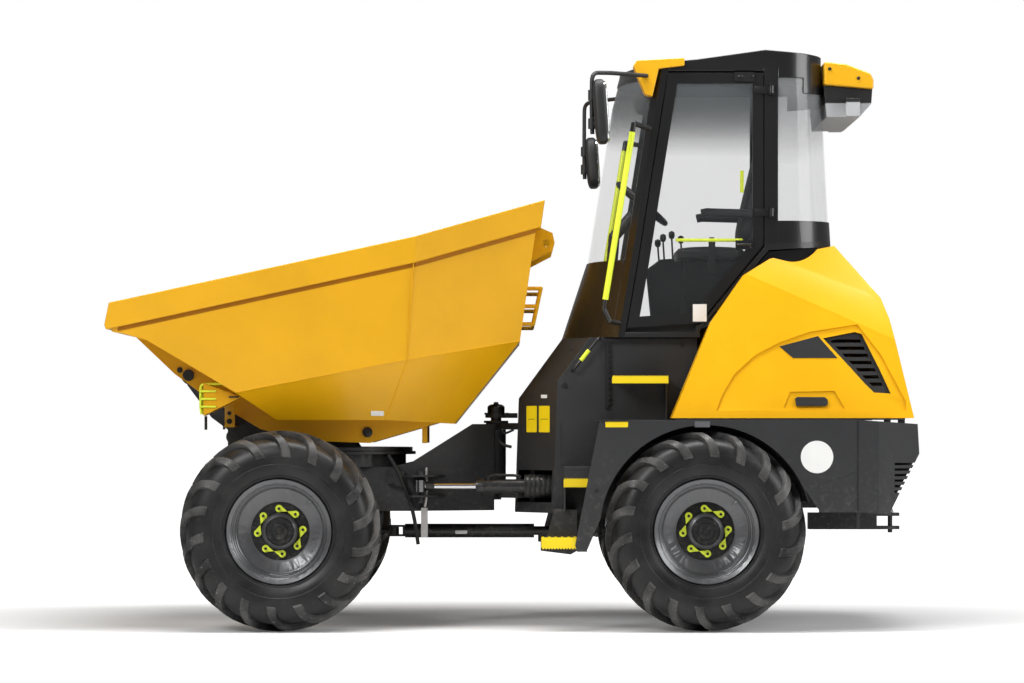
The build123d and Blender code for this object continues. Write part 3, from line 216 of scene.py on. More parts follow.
finishes = dict(
    yellow=paint("yellowPaint", (0.76, 0.385, 0.002), 0.36, coat=0.14, peel=0.06, dust=0.05, drift=0.04, shine=0.3),
    # painted shade: a darker orange for the strip under the skip's rim band, standing for the band's shadow
    paintedShadeYellow=paint("paintedShadeYellow", (0.36, 0.135, 0.002), 0.5, peel=0.05, dust=0.0, drift=0.06, shine=0.2),
    yellowPlastic=paint("yellowPlastic", (0.72, 0.365, 0.002), 0.4, coat=0.1, peel=0.05, dust=0.0, drift=0.03),
    grey=paint("darkGreyPaint", (0.022, 0.0225, 0.024), 0.46, coat=0.15, peel=0.3, grain=330.0),
    black=paint("blackPaint", (0.008, 0.008, 0.0085), 0.38, coat=0.2, peel=0.2, dust=0.12),
    frameBlack=paint("cabBlack", (0.007, 0.007, 0.0075), 0.3, coat=0.35, peel=0.15, dust=0.0),
    rim=paint("rimGrey", (0.125, 0.127, 0.132), 0.27, coat=0.15, peel=0.1, dust=0.08, metal=0.75),
    hub=paint("hubBlack", (0.007, 0.007, 0.0075), 0.46, coat=0.0, peel=0.3, shine=0.35),
    plastic=moulded("blackPlastic", (0.01, 0.01, 0.0105), 0.55),
    greyPlastic=moulded("greyPlastic", (0.11, 0.112, 0.118), 0.5),
    rubber=moulded("rubberBlack", (0.012, 0.012, 0.012), 0.62, bump=0.35),
    vinyl=moulded("seatVinyl", (0.02, 0.02, 0.022), 0.58, grain=600.0, bump=0.4, sheen=0.2),
    # painted light: these three finishes glow a little by emission
    bright=glow("brightYellowGreen", (0.72, 0.83, 0.04), 0.1),
    label=glow("blankYellowLabel", (0.9, 0.66, 0.01), 0.05),
    white=glow("blankWhitePlate", (0.82, 0.82, 0.8), 0.05),
    chrome=bareMetal("platedRod", (0.78, 0.78, 0.8), 0.16, streak=(1.0, 8.0, 8.0), scratch=0.08),
    zinc=bareMetal("zincSteel", (0.58, 0.57, 0.55), 0.38),
    mirror=bareMetal("mirrorGlass", (0.86, 0.88, 0.9), 0.06, scratch=0.02),
    glass=clearGlass("cabGlass", (0.1, 0.11, 0.115), 0.07, band=(2.86, 3.2, 0.62)),
    rearGlass=clearGlass("rearGlass", (0.28, 0.29, 0.3), 0.1, band=(2.8, 3.25, 0.35)),
    lens=clearGlass("lampLens", (0.75, 0.78, 0.8), 0.45),
    amber=clearGlass("amberLens", (0.85, 0.3, 0.02), 0.85, rough=0.15),
    red=clearGlass("redLens", (0.35, 0.01, 0.01), 0.9, rough=0.15),
    housing=twoTone("lampHousing", (0.4, 0.41, 0.42), (0.012, 0.012, 0.013), 3.088, 3.094),
    tyre=tyreRubber())
print("finishes made:", len(finishes))


# mesh building: every shape is (points, faces), with points as an array. The faces between rings of points:
# rows of points that each close into a ring
def gridFaces(rows, columns):
    i, j = [a.ravel() for a in np.meshgrid(np.arange(rows - 1), np.arange(columns), indexing="ij")]
    k, l = i + 1, (j + 1) % columns
    return np.stack([i * columns + j, k * columns + j, k * columns + l, i * columns + l], 1)


# a surface of revolution: profile (radius, distance along the axis) turned about an axis through centre
def lathe(profile, axis="Y", centre=(0, 0, 0), sides=48, flip=False):
    profile = np.asarray(profile, float)
    angle = np.linspace(0, tau, sides, endpoint=False)
    r, a = profile[:, 0][:, None], profile[:, 1][:, None]
    u, v, w = r * np.cos(angle), r * np.sin(angle), a + 0 * angle
    stacked = dict(X=(w, u, v), Y=(v, w, u), Z=(u, v, w))[axis]
    points = np.stack(stacked, -1).reshape(-1, 3) + np.asarray(centre, float)
    faces = gridFaces(len(profile), sides)
    return points, (faces[:, ::-1] if flip else faces).tolist()


# rounds the corners of a path: each corner becomes an arc-like run of steps
def rounded(points, radius, steps=6):
    points = np.asarray(points, float)
    out = [points[0]]
    for before, here, after in zip(points[:-2], points[1:-1], points[2:]):
        back, on = before - here, after - here
        reach = min(radius, 0.45 * np.linalg.norm(back), 0.45 * np.linalg.norm(on))
        a, b = here + back / np.linalg.norm(back) * reach, here + on / np.linalg.norm(on) * reach
        t = np.linspace(0, 1, steps)[:, None]
        out.extend((1 - t) ** 2 * a + 2 * t * (1 - t) * here + t ** 2 * b)
    out.append(points[-1])
    return np.array(out)


# a tube: a ring of points carried along the path, turned as little as possible from step to step
def tube(path, radius, sides=14, bend=0.0):
    path = rounded(path, bend) if bend else np.asarray(path, float)
    count = len(path)
    radii = np.broadcast_to(np.asarray(radius, float), (count,))
    ahead = np.gradient(path, axis=0)
    ahead /= np.linalg.norm(ahead, axis=1)[:, None]
    side = np.cross(ahead[0], [0.3, 0.2, 0.93])
    across = []
    for tangent in ahead:
        side = side - tangent * side.dot(tangent)
        side = side / np.linalg.norm(side)
        across.append(side)
    up = np.cross(ahead, across)
    angle = np.linspace(0, tau, sides, endpoint=False)
    ring = np.cos(angle)[None, :, None] * np.array(across)[:, None] + np.sin(angle)[None, :, None] * up[:, None]
    points = (path[:, None] + ring * radii[:, None, None]).reshape(-1, 3)
    faces = gridFaces(count, sides)[:, ::-1].tolist()
    return points, faces + [list(range(sides)), list(range((count - 1) * sides, count * sides))[::-1]]


def areaOf(outline):
    ahead = np.roll(outline, -1, 0)
    return np.sum(outline[:, 0] * ahead[:, 1] - ahead[:, 0] * outline[:, 1]) / 2


# a closed solid between two outlines with the same count of points
def prism(lower, upper):
    base = np.arange(len(lower))
    after = (base + 1) % len(lower)
    sides = np.stack([base, after, after + len(lower), base + len(lower)], 1)
    return np.concatenate([lower, upper]), [base[::-1].tolist(), (base + len(lower)).tolist()] + sides.tolist()


# a flat plate: an outline (x, z) extruded across the vehicle from low to high
def plate(outline, low, high):
    outline = np.asarray(outline, float)
    if areaOf(outline) >= 0:
        outline = outline[::-1]
    return prism(*[np.insert(outline, 1, level, axis=1) for level in (low, high)])


def block(low, high):
    return plate([(low[0], low[2]), (high[0], low[2]), (high[0], high[2]), (low[0], high[2])], low[1], high[1])


# a plug that faces outwards, its rim chamfered and its face domed
def disc(centre, radius, thick, sides=32, dome=0.0):
    profile = [(0, 0), (radius, 0), (radius, thick * 0.8), (radius * 0.95, thick), (radius * 0.5, thick + dome * 0.8),
        (0.0001, thick + dome)]
    return lathe(profile, "Y", centre, sides, flip=True)


# a hexagon head on a washer, pointing along the axis
def bolt(centre, size=0.012, axis="Y", side=1):
    foot, shoulder, top = side * size * 0.25, side * size * 0.85, side * size
    washer = [(0, 0), (size * 1.25, 0), (size * 1.25, foot), (0, foot)]
    head = [(size, foot), (size, shoulder), (size * 0.82, top), (0.0001, top)]
    return together(lathe(washer, axis, centre, 16, flip=side > 0), lathe(head, axis, centre, 6, flip=side > 0))


# a row of bolts on one upright plane: rows of (x, z)
def bolts(rows, y, size):
    return together(*[bolt((x, y, z), size) for x, z in rows])


def together(*shapes):
    points, faces, start = [], [], 0
    for p, f in shapes:
        points.append(p)
        faces += [[start + k for k in face] for face in f]
        start += len(p)
    return np.concatenate(points), faces


def mirrored(shape):
    return shape[0] * (1, -1, 1), [face[::-1] for face in shape[1]]


def both(*shapes):
    made = together(*shapes)
    return together(made, mirrored(made))


def moved(shape, offset):
    return shape[0] + np.asarray(offset, float), shape[1]


def turned(shape, axis, degrees, centre=(0, 0, 0)):
    c, s = math.cos(math.radians(degrees)), math.sin(math.radians(degrees))
    matrix = dict(X=[[1, 0, 0], [0, c, -s], [0, s, c]], Y=[[c, 0, s], [0, 1, 0], [-s, 0, c]],
        Z=[[c, -s, 0], [s, c, 0], [0, 0, 1]])[axis]
    centre = np.asarray(centre, float)
    return (shape[0] - centre) @ np.array(matrix).T + centre, shape[1]


def meshObject(name, shape):
    mesh = bpy.data.meshes.new(name)
    mesh.from_pydata(np.asarray(shape[0], float).tolist(), [], shape[1])
    mesh.validate()
    made = bpy.data.objects.new(name, mesh)
    scene.collection.objects.link(made)
    return made


def piece(name, shape, finish, body="rear_frame", slot=None, **look):
    return dressed(meshObject(name, shape), finish, body, slot, **look)


def dressed(made, finish, body, slot=None, smooth=32, bevel=0.0, replaces=(), subdivide=0):
    mesh = made.data
    mesh.materials.clear()
    mesh.materials.append(finishes[finish])
    mesh.shade_smooth()
    mesh.set_sharp_from_angle(angle=math.radians(smooth))
    if bevel:
        edge = made.modifiers.new("edges", "BEVEL")
        edge.width, edge.segments, edge.limit_method, edge.angle_limit = bevel, 2, "ANGLE", math.radians(28)
        edge.harden_normals = True
    if subdivide:
        made.modifiers.new("smooth", "SUBSURF").levels = subdivide
        made.modifiers["smooth"].render_levels = subdivide
    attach(made, body)
    if replaces:
        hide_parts(*replaces)
    return made


bodyOf = {n: b for b, members in frame["record"]["behaviour"]["bodies"].items() for n in members}
slotOf = {row["node"]: row["material_slot"] for row in frame["record"]["subparts"]}


# a CAD node's own shape with its doubles merged, its flat faces whole and its edges rounded
def softened(node, finish, width):
    mesh = nodes[node].data.copy()
    work = bmesh.new()
    work.from_mesh(mesh)
    bmesh.ops.remove_doubles(work, verts=work.verts, dist=2e-5)
    bmesh.ops.dissolve_limit(work, angle_limit=math.radians(0.6), verts=work.verts, edges=work.edges)
    work.to_mesh(mesh)
    work.free()
    made = bpy.data.objects.new(node + "_soft", mesh)
    scene.collection.objects.link(made)
    return dressed(made, finish, bodyOf[node], slotOf[node], bevel=width, replaces=(node,))


# the stage: a pale floor that fades to white away from the object, white all round, soft lamps; the fade is painted
# light, a glow for the camera that rises away from the object, so the floor stays darker near it
studio = Table(
    floor=(0.8, 0.8, 0.8), reach=60, behind=-90, world=0.2, near=1.5, far=4.8, flatten=0.4, least=0.08,
    lamps=dict(keyLamp=dict(at=(4.5, 7.0, 5.5), aim=(0.3, 0, 1.0), size=(2.6, 3.0), power=375),
               topLamp=dict(at=(-0.3, 1.3, 6.5), aim=(0, 0.2, 1.0), size=(7, 1.8), power=475),
               rearLamp=dict(at=(-7.0, 4.0, 4.0), aim=(0, 0, 1.5), size=(4, 4), power=300)))


def stageFloor():
    reach, behind = studio.reach, studio.behind
    corners = [(-reach, behind, 0), (reach, behind, 0), (reach, reach, 0), (-reach, reach, 0)]
    floor = meshObject("floor", (corners, [(0, 1, 2, 3)]))
    shader = Shader("floorPale")
    seen = shader.node("ShaderNodeLightPath")
    split = shader.node("ShaderNodeSeparateXYZ", None, {"Vector": shader.place}).socket.node
    x, y = [Value(shader, split.outputs[k]) for k in (0, 1)]
    # painted light: the floor's glow for the camera is least near the object and full far from it
    away = ((x * x * studio.flatten + y * y) ** 0.5).clamped(studio.near, studio.far)
    lit = seen * (away * (1 - studio.least) + studio.least)
    floor.data.materials.append(shader.finish(
        Base_Color=studio.floor, Roughness=0.9, Specular_IOR_Level=0.0, Emission_Strength=1.0,
        Emission_Color=shader.mixed(lit, (0.0, 0.0, 0.0), (1.0, 1.0, 1.0))))


# white to the camera and through glass, and dim as a light
def stageWorld():
    world = bpy.data.worlds.new("studio")
    scene.world = world
    world.use_nodes = True
    tree = world.node_tree
    ground = tree.nodes["Background"]
    path = tree.nodes.new("ShaderNodeLightPath")
    seen = tree.nodes.new("ShaderNodeMath")
    seen.operation = "MAXIMUM"
    strength = tree.nodes.new("ShaderNodeMapRange")
    strength.inputs["To Min"].default_value = studio.world
    strength.inputs["To Max"].default_value = 1.0
    ground.inputs["Color"].default_value = (1, 1, 1, 1)
    for source, target in (
            (path.outputs["Is Camera Ray"], seen.inputs[0]), (path.outputs["Is Transmission Ray"], seen.inputs[1]),
            (seen.outputs[0], strength.inputs["Value"]), (strength.outputs["Result"], ground.inputs["Strength"])):
        tree.links.new(source, target)


def stageLamps():
    for name, row in studio.lamps.items():
        data = bpy.data.lights.new(name, "AREA")
        data.shape, data.energy = "RECTANGLE", row["power"]
        data.size, data.size_y = row["size"]
        lamp = bpy.data.objects.new(name, data)
        lamp.location = row["at"]
        lamp.rotation_euler = (Vector(row["aim"]) - Vector(row["at"])).to_track_quat("-Z", "Y").to_euler()
        scene.collection.objects.link(lamp)


# a long lens, level, square on to the left side
view = Table(at=(0.052, 23.21, 1.193), lens=135.0, sensor=36.0, shift=(7 / 1024, 83.5 / 1024), reach=300)


def camera():
    data = bpy.data.cameras.new("camera")
    data.lens, data.sensor_width, data.clip_end = view.lens, view.sensor, view.reach
    data.shift_x, data.shift_y = view.shift
    made = bpy.data.objects.new("camera", data)
    made.location = view.at
    made.rotation_euler = (math.pi / 2, 0, math.pi)
    scene.collection.objects.link(made)
    scene.camera = made
    scene.view_settings.view_transform = "Standard"


stageFloor()
stageWorld()
stageLamps()
camera()
print("stage and camera set")


# wheels: the carcass is a turned profile, each lug a bar carried from the shoulder to the crown
wheels = dict(fl=(1.35, 1), fr=(1.35, -1), rl=(-1.106, 1), rr=(-1.106, -1))
# the carcass, the lugs' feet and the lugs' tops are paled in steps: partly dust, partly painted highlight that
# lightens the raised lug tops against the darker carcass
wheelSet = Table(height=0.58, track=0.96, sides=120, lugs=18, lugTop=0.048, lugFoot=0.068, lugSink=0.004, lead=26,
    carcassWear=0.12, footWear=0.25, topWear=1.0, edge=0.004)
# radius and offset from the wheel's middle, down one sidewall to the crown
carcass = [(0.287, 0.15), (0.287, 0.196), (0.3, 0.203), (0.309, 0.214), (0.313, 0.222), (0.322, 0.223),
    (0.326, 0.229), (0.345, 0.238), (0.366, 0.243), (0.381, 0.245), (0.383, 0.2475), (0.388, 0.2475), (0.39, 0.2455),
    (0.415, 0.2465), (0.44, 0.2455), (0.465, 0.241), (0.49, 0.231), (0.512, 0.214), (0.528, 0.19), (0.538, 0.15),
    (0.543, 0.09), (0.545, 0.0)]
# along a lug: radius and offset of its foot, height, outward direction (radial, sideways), lead in degrees
lugLine = [
    (0.432, 0.245, 0.004, 0.05, 1.0, 0.0), (0.442, 0.244, 0.011, 0.15, 0.99, 0.4),
    (0.47, 0.2395, 0.015, 0.3, 0.95, 1.2), (0.495, 0.2285, 0.017, 0.55, 0.83, 2.6),
    (0.515, 0.211, 0.023, 0.74, 0.67, 4.8), (0.53, 0.185, 0.029, 0.88, 0.47, 7.6),
    (0.538, 0.15, 0.034, 0.97, 0.2, 10.8), (0.542, 0.1, 0.036, 1.0, 0.05, 16.0),
    (0.544, 0.05, 0.036, 1.0, 0.0, 21.5), (0.545, 0.012, 0.036, 1.0, 0.0, 26.0)]


# a lug's four lines of corners, two at its foot and two at its top, with how much dust and painted highlight each
# gets
def lug(start, side):
    radius, offset, height, outRadial, outSide, lead = np.array(lugLine).T
    corners, dustAndHighlightWeight = [], []
    for width, rise, dustAndHighlightAmount, signs in ((wheelSet.lugFoot, -wheelSet.lugSink, wheelSet.footWear, (1, -1)),
            (wheelSet.lugTop, height, wheelSet.topWear, (-1, 1))):
        r, y = radius + rise * outRadial, offset + rise * outSide
        for sign in signs:
            angle = np.radians(start + lead) + sign * width / 2 / r
            corners.append(np.stack([r * np.sin(angle), side * y, r * np.cos(angle)], -1))
            dustAndHighlightWeight.append(np.full(len(r), dustAndHighlightAmount))
    points = np.stack(corners, 1).reshape(-1, 3)
    last = len(points) - 1
    faces = gridFaces(len(radius), 4).tolist()
    faces += [[0, 1, 2, 3], [last, last - 1, last - 2, last - 3]]
    return (points, faces if side > 0 else [face[::-1] for face in faces]), np.stack(dustAndHighlightWeight, 1).ravel()


for name, (x, side) in wheels.items():
    centre = (x, side * wheelSet.track, wheelSet.height)
    shapes = [lathe(carcass + [(r, -a) for r, a in carcass[-2::-1]], sides=wheelSet.sides)]
    dustAndHighlightWeight = [np.full(len(shapes[0][0]), wheelSet.carcassWear)]
    for k in range(wheelSet.lugs):
        for half, shift in ((1, 0.0), (-1, 0.5)):
            shape, dustAndHighlightAmount = lug(180 - wheelSet.lead + 360 / wheelSet.lugs * (k + shift), half)
            shapes.append(shape)
            dustAndHighlightWeight.append(dustAndHighlightAmount)
    tyre = piece("tyre" + name.upper(), moved(together(*shapes), centre), "tyre", bodyOf["tyre_" + name],
        "tyre_rubber", smooth=38, bevel=wheelSet.edge, replaces=("tyre_" + name,))
    # the attribute "tread" carries that paling: partly dust, partly painted highlight
    tread = tyre.data.attributes.new("tread", "FLOAT", "POINT")
    tread.data.foreach_set("value", np.concatenate(dustAndHighlightWeight).astype(np.float32))
    tyre.data.update()
print("tyres made")

# the wheel's face, measured from the wheel's middle: hub cover with its ribs and bolts, nuts on their studs,
# pointers in pairs that face each other, the valve, the rim's steps and a weight
face = Table(circle=0.131, disc=0.0615, nut=0.0155, stud=0.008, studRise=(0.034, 0.036), rimEdge=0.002, pointer=0.021,
    tip=0.05, pointerRise=(0.012, 0.016), pairs=[(-93, -48), (-4, 41), (85, 130), (175, 222)], ribs=5, ribRun=1.05,
    ribSpan=(0.054, 0.078), rib=0.0035, ribOut=0.132, bolts=10, boltCircle=0.094, boltOut=0.104, bolt=0.006,
    weightFrom=(-0.018, -0.272), weightTo=(0.018, -0.243), weightOut=(0.112, 0.135), weightTurn=20)
hubProfile = [(0.1075, 0.058), (0.1075, 0.098), (0.101, 0.104), (0.092, 0.104), (0.088, 0.11), (0.083, 0.1255),
    (0.074, 0.1325), (0.05, 0.1335), (0.047, 0.139), (0.04, 0.142), (0.022, 0.142), (0.02, 0.139), (0.0001, 0.139)]
rimSteps = [(0.2755, 0.192), (0.2755, 0.181), (0.269, 0.1755), (0.2665, 0.158), (0.266, 0.15), (0.259, 0.1455),
    (0.256, 0.124), (0.249, 0.118), (0.246, 0.0985), (0.238, 0.096)]
discRing = [(0.168, 0.06), (0.168, 0.064), (0.165, 0.0655), (0.104, 0.0655)]
valveStem = Table(path=[(-0.15, 0.07, 0.152), (-0.165, 0.094, 0.165), (-0.186, 0.11, 0.184)],
    radius=[0.006, 0.0055, 0.0075])


def onCircle(degrees, radius):
    return np.array([-math.cos(math.radians(degrees)), -math.sin(math.radians(degrees))]) * radius


# a drop-shaped tag round one nut, its tip towards the other nut of its pair
def pointer(at, towards, side):
    here, there = onCircle(at, face.circle), onCircle(towards, face.circle)
    along = (there - here) / np.linalg.norm(there - here)
    spread = np.radians(np.linspace(48, 312, 25)) + math.atan2(along[1], along[0])
    loop = here + face.pointer * np.stack([np.cos(spread), np.sin(spread)], -1)
    low, high = sorted(side * (face.disc + rise) for rise in face.pointerRise)
    return plate(np.concatenate([[here + along * face.tip], loop]), low, high)


for name, (x, side) in wheels.items():
    centre = (x, side * wheelSet.track, wheelSet.height)
    body, label = bodyOf["rim_" + name], name.upper()

    def spun(profile, sides, at=(0, 0, 0)):
        return lathe([(r, side * a) for r, a in profile], "Y", at, sides, flip=side > 0)

    softened("rim_" + name, "rim", face.rimEdge)
    spots = [onCircle(a, face.circle) for pair in face.pairs for a in pair]
    low, high = [face.disc + rise for rise in face.studRise]
    nuts = [bolt((u, side * face.disc, w), face.nut, "Y", side) for u, w in spots]
    nuts += [spun([(face.stud, face.disc), (face.stud, low), (0.0001, high)], 14, (u, 0, w)) for u, w in spots]
    ribs = []
    for k in range(face.ribs):
        angle = np.linspace(0, face.ribRun, 10) + tau * k / face.ribs
        r = np.linspace(*face.ribSpan, 10)
        path = np.stack([r * np.cos(angle), 0 * r + side * face.ribOut, r * np.sin(angle)], -1)
        ribs.append(tube(path, face.rib, 8))
    small = [bolt((face.boltCircle * math.cos(a), side * face.boltOut, face.boltCircle * math.sin(a)), face.bolt, "Y",
        side) for a in np.linspace(0, tau, face.bolts, endpoint=False)]
    pointers = [pointer(a, b, side) for pair in face.pairs for a, b in (pair, pair[::-1])]
    stem = tube([(u, side * v, w) for u, v, w in valveStem.path], valveStem.radius, 10)
    (u0, w0), (u1, w1) = face.weightFrom, face.weightTo
    v0, v1 = sorted(side * a for a in face.weightOut)
    weight = turned(block((u0, v0, w0), (u1, v1, w1)), "Y", face.weightTurn)
    for title, shape, finish, slot in (
            ("hub", together(spun(hubProfile, 56), *ribs, *small, *nuts), "hub", "rim_grey"),
            ("nutPointers", together(*pointers), "bright", None),
            ("valve", stem, "zinc", None),
            ("rimSteps", together(spun(rimSteps, 96), weight), "rim", "rim_grey"),
            ("rimDisc", spun(discRing, 72), "hub", "rim_grey")):
        piece(title + label, moved(shape, centre), finish, body, slot)
print("wheel faces made")


# every other CAD piece in its own finish, with the width of its rounded edges; 0.0 leaves the edges as they are
coats = dict(
    yellow=dict(skip_pan=0.004, skip_sides=0.004, skip_rim=0.005, skip_beams=0.004, bonnet=0.005, lamp_guards=0.002),
    grey=dict(front_chassis=0.003, rear_chassis=0.003, tower=0.004, mudguards=0.005, access_steps=0.002,
              bottom_steps=0.002, bumper=0.006),
    black=dict(front_axle=0.003, rear_axle=0.003, turntable=0.002, prop_front=0.0, prop_rear=0.0, steer_barrel=0.0,
               swivel_frame=0.003, tip_barrel=0.0, grab_rails=0.0, tow_hitch=0.002, engine_block=0.006,
               cab_floor=0.003),
    frameBlack=dict(cab_front_panel=0.006, cab_rear_panel=0.004, cab_posts=0.003, cab_roof=0.012, door_frame=0.004),
    yellowPlastic=dict(roof_caps=0.01, rear_visor=0.01),
    housing=dict(visor_housing=0.01),
    plastic=dict(console=0.008, steering_column=0.0, bonnet_grilles=0.001, bonnet_trim=0.003, seat_base=0.008),
    chrome=dict(steer_rod=0.0, tip_rod=0.0),
    glass=dict(windscreen=0.0, side_glass=0.0, door_glass=0.0),
    rearGlass=dict(rear_glass=0.0),
    lens=dict(front_lamps=0.0),
    red=dict(tail_lamps=0.002))
for finish, members in coats.items():
    for node, width in members.items():
        if width:
            softened(node, finish, width)
        else:
            nodes[node].data.materials.clear()
            nodes[node].data.materials.append(finishes[finish])
print("CAD pieces finished")


# a thin blank plate lying on a sloping face: the face is given by three points, the outline by (x, z)
def onFace(outline, three, thick=0.0012, lift=0.0005):
    a, b, c = [np.array(p, float) for p in three]
    normal = np.cross(b - a, c - a)
    normal *= np.sign(normal[1]) / np.linalg.norm(normal)
    outline = np.asarray(outline, float)
    if areaOf(outline) > 0:
        outline = outline[::-1]
    y = a[1] - ((outline[:, 0] - a[0]) * normal[0] + (outline[:, 1] - a[2]) * normal[2]) / normal[1]
    flat = np.insert(outline, 1, y, axis=1)
    return prism(flat + normal * lift, flat + normal * (lift + thick))


# a rectangle with rounded corners, from x0, z0 to x1, z1
def oblong(x0, z0, x1, z1, corner=0.0):
    if not corner:
        return [(x0, z0), (x1, z0), (x1, z1), (x0, z1)]
    x0, z0, x1, z1 = x0 + corner, z0 + corner, x1 - corner, z1 - corner
    turn = np.linspace(0, math.pi / 2, 5)
    return [(x + corner * math.cos(t + quarter * math.pi / 2), z + corner * math.sin(t + quarter * math.pi / 2))
        for x, z, quarter in ((x1, z0, -1), (x1, z1, 0), (x0, z1, 1), (x0, z0, 2)) for t in turn]


def ringOf(x, z, radius, count=48):
    return [(x + radius * math.cos(t), z + radius * math.sin(t)) for t in np.linspace(0, tau, count, endpoint=False)]


# faces that labels and the strips of painted shade lie on, each by three points: the skip's, the tower's slanted
# flank, the mudguard's skin and the propeller shaft's cover
skipCorner = (0.617, 0.97, 1.573)
sloping = dict(
    skipUpper=((2.325, 1.1, 1.899), (0.569, 1.1, 2.279), skipCorner),
    skipLower=(skipCorner, (1.615, 0.975, 1.382), (0.753, 0.7, 1.222)),
    skipRear=((0.569, 1.1, 2.279), (-0.152, 0.75, 2.5), skipCorner),
    flank=((-0.008, 0.3, 0.674), (-0.032, 0.3, 1.354), (-0.231, 0.6, 0.674)),
    guard=((-1.0, 1.11, 0.5), (-2.0, 1.11, 0.5), (-1.5, 1.11, 1.0)),
    shaft=((0.2, 0.0425, 0.5), (0.4, 0.0425, 0.5), (0.3, 0.0425, 0.6)))
# blank labels: finish, face, outlines, then thickness and lift where they aren't the usual ones
labels = dict(
    skipLabels=("white", "skipLower", [oblong(0.762, 1.2475, 0.836, 1.275, 0.004)]),
    flankLabels=("label", "flank", [oblong(-0.137, 1.15, -0.077, 1.306, 0.004),
                                    oblong(-0.212, 1.15, -0.15, 1.306, 0.004)]),
    flankLabelLines=("black", "flank", [oblong(-0.127, 1.226, -0.087, 1.229), oblong(-0.202, 1.226, -0.16, 1.229)],
                     0.0006, 0.0018),
    flankPlates=("white", "flank", [oblong(-0.197, 1.352, -0.162, 1.372, 0.002)]),
    guardDiscs=("white", "guard", [ringOf(-1.7436, 1.0088, 0.0935)], 0.0015),
    guardLabels=("label", "guard", [oblong(-0.656, 1.18, -0.526, 1.212, 0.004)]),
    guardPatches=("greyPlastic", "guard", [oblong(-1.127, 1.18, -1.04, 1.214, 0.003)]))
for name, (finish, plane, outlines, *thick) in labels.items():
    body = "skip" if plane.startswith("skip") else "rear_frame"
    piece(name, both(*[onFace(outline, sloping[plane], *thick) for outline in outlines]), finish, body)
piece("shaftLabels", onFace(oblong(0.28, 0.536, 0.352, 0.556, 0.002), sloping["shaft"], 0.001), "white",
    "prop_shaft_front")
print("labels made")

# the skip: seams welded along its creases, a strip of painted shade under the rim's band where the band's shadow
# falls, plugs and bolts at the tip joint
skipSet = Table(bead=0.0035, foldDrop=0.15, foldTop=0.004, foldDeep=0.024, foldThick=0.0015,
    plug=((0.866, 0.4605, 1.15), 0.03, 0.01), cap=((1.926, 0.4745, 1.488), 0.034, 0.008),
    bolt=((1.978, 0.4605, 1.519), 0.014))
creases = [((0.575, 1.094, 2.19), skipCorner), (skipCorner, (1.615, 0.975, 1.382)),
    (skipCorner, (0.753, 0.7, 1.222)), (skipCorner, (-0.036, 0.634, 1.687))]
piece("skipSeams", both(*[tube(np.linspace(a, b, 24), skipSet.bead, 8) for a, b in creases]), "yellow", "skip",
    "yellow_paint")
# each strip is painted shade: a dark band on the skip's side just below the rim's band, where its shadow falls
folds = []
for (x0, z0), (x1, z1), plane in (
        ((2.285, 1.9077), (0.569, 2.279), "skipUpper"), ((0.569, 2.279), (-0.128, 2.4926), "skipRear")):
    top, low = skipSet.foldDrop - skipSet.foldTop, skipSet.foldDrop + skipSet.foldDeep
    folds.append(onFace([(x0, z0 - low), (x0, z0 - top), (x1, z1 - top), (x1, z1 - low)], sloping[plane],
        skipSet.foldThick))
piece("rimShadeStrip", both(*folds), "paintedShadeYellow", "skip")
piece("skipPlugs", both(disc(*skipSet.plug, dome=0.003), disc(*skipSet.cap), bolt(*skipSet.bolt)), "black", "skip")
print("skip dressed")

# lamp guards: bars of the cage round each lamp, the lamp's bowl, a rubber strip below
guard = Table(
    bar=0.0065, bend=0.02, uprights=(0.672, 0.712, 0.752, 0.792, 0.826), crossbars=(1.3, 1.345, 1.39),
    back=1.7, rear=1.735, front=1.822, bulge=1.828, outside=0.846, bowlAt=(0, 0.74, 1.347),
    bowl=[(0.0001, 1.738), (0.02, 1.738), (0.034, 1.744), (0.04, 1.775), (0.041, 1.792), (0.037, 1.795)],
    strip=((1.8, 0.66, 1.165), (1.806, 0.8, 1.245)), lip=((1.6, 0.842, 1.352), (1.66, 0.848, 1.36)),
    bolts=(((1.672, 0.6405, 1.215), 0.013), ((1.672, 0.6405, 1.262), 0.01)))
bars = [tube([(guard.back, y, 1.434), (guard.front, y, 1.43), (guard.bulge, y, 1.4), (guard.bulge, y, 1.29),
    (guard.front, y, 1.256)], guard.bar, 10, guard.bend) for y in guard.uprights]
bars += [tube([(guard.rear, guard.outside, z), (guard.front, guard.outside, z), (guard.bulge, 0.82, z),
    (guard.bulge, 0.66, z)], guard.bar, 10, guard.bend) for z in guard.crossbars]
piece("lampCages", both(*bars), "bright", "swivel_frame")
piece("lampBowls", both(lathe(guard.bowl, "X", guard.bowlAt, 32, flip=True)), "plastic", "swivel_frame")
piece("guardStrips", both(block(*guard.strip), block(*guard.lip), *[bolt(*row) for row in guard.bolts]), "rubber",
    "swivel_frame")
print("lamp guards dressed")


# small fittings on one body: each row is a name, a finish and shapes, made on both sides or once, as they stand
def fitted(rows, body="rear_frame", made=both):
    for name, (finish, *shapes) in rows.items():
        piece(name, made(*shapes), finish, body)


# the centre hinge: the post's collar and ear, and two short hoses
fitted(dict(
    hingeCollar=("black", lathe([(0.052, 1.262), (0.052, 1.302), (0.045, 1.311), (0.03, 1.318), (0.0001, 1.318)], "Z",
        (0.106, 0, 0), 32, flip=True), bolt((0.106, 0, 1.318), 0.014, "Z"),
        block((0.031, -0.03, 1.236), (0.166, 0.036, 1.256)), bolt((0.04, 0.02, 1.256), 0.011, "Z"),
        bolt((0.165, 0.02, 1.256), 0.011, "Z")),
    hingeHoses=("rubber",
        tube([(0.09, 0.2, 1.105), (0.08, 0.235, 1.085), (0.05, 0.245, 1.07), (0.015, 0.26, 1.062)], 0.009, 10, 0.03),
        tube([(0.07, 0.2, 1.16), (0.06, 0.22, 1.14), (0.03, 0.235, 1.15), (0.0, 0.245, 1.165)], 0.007, 10, 0.03))),
    made=together)

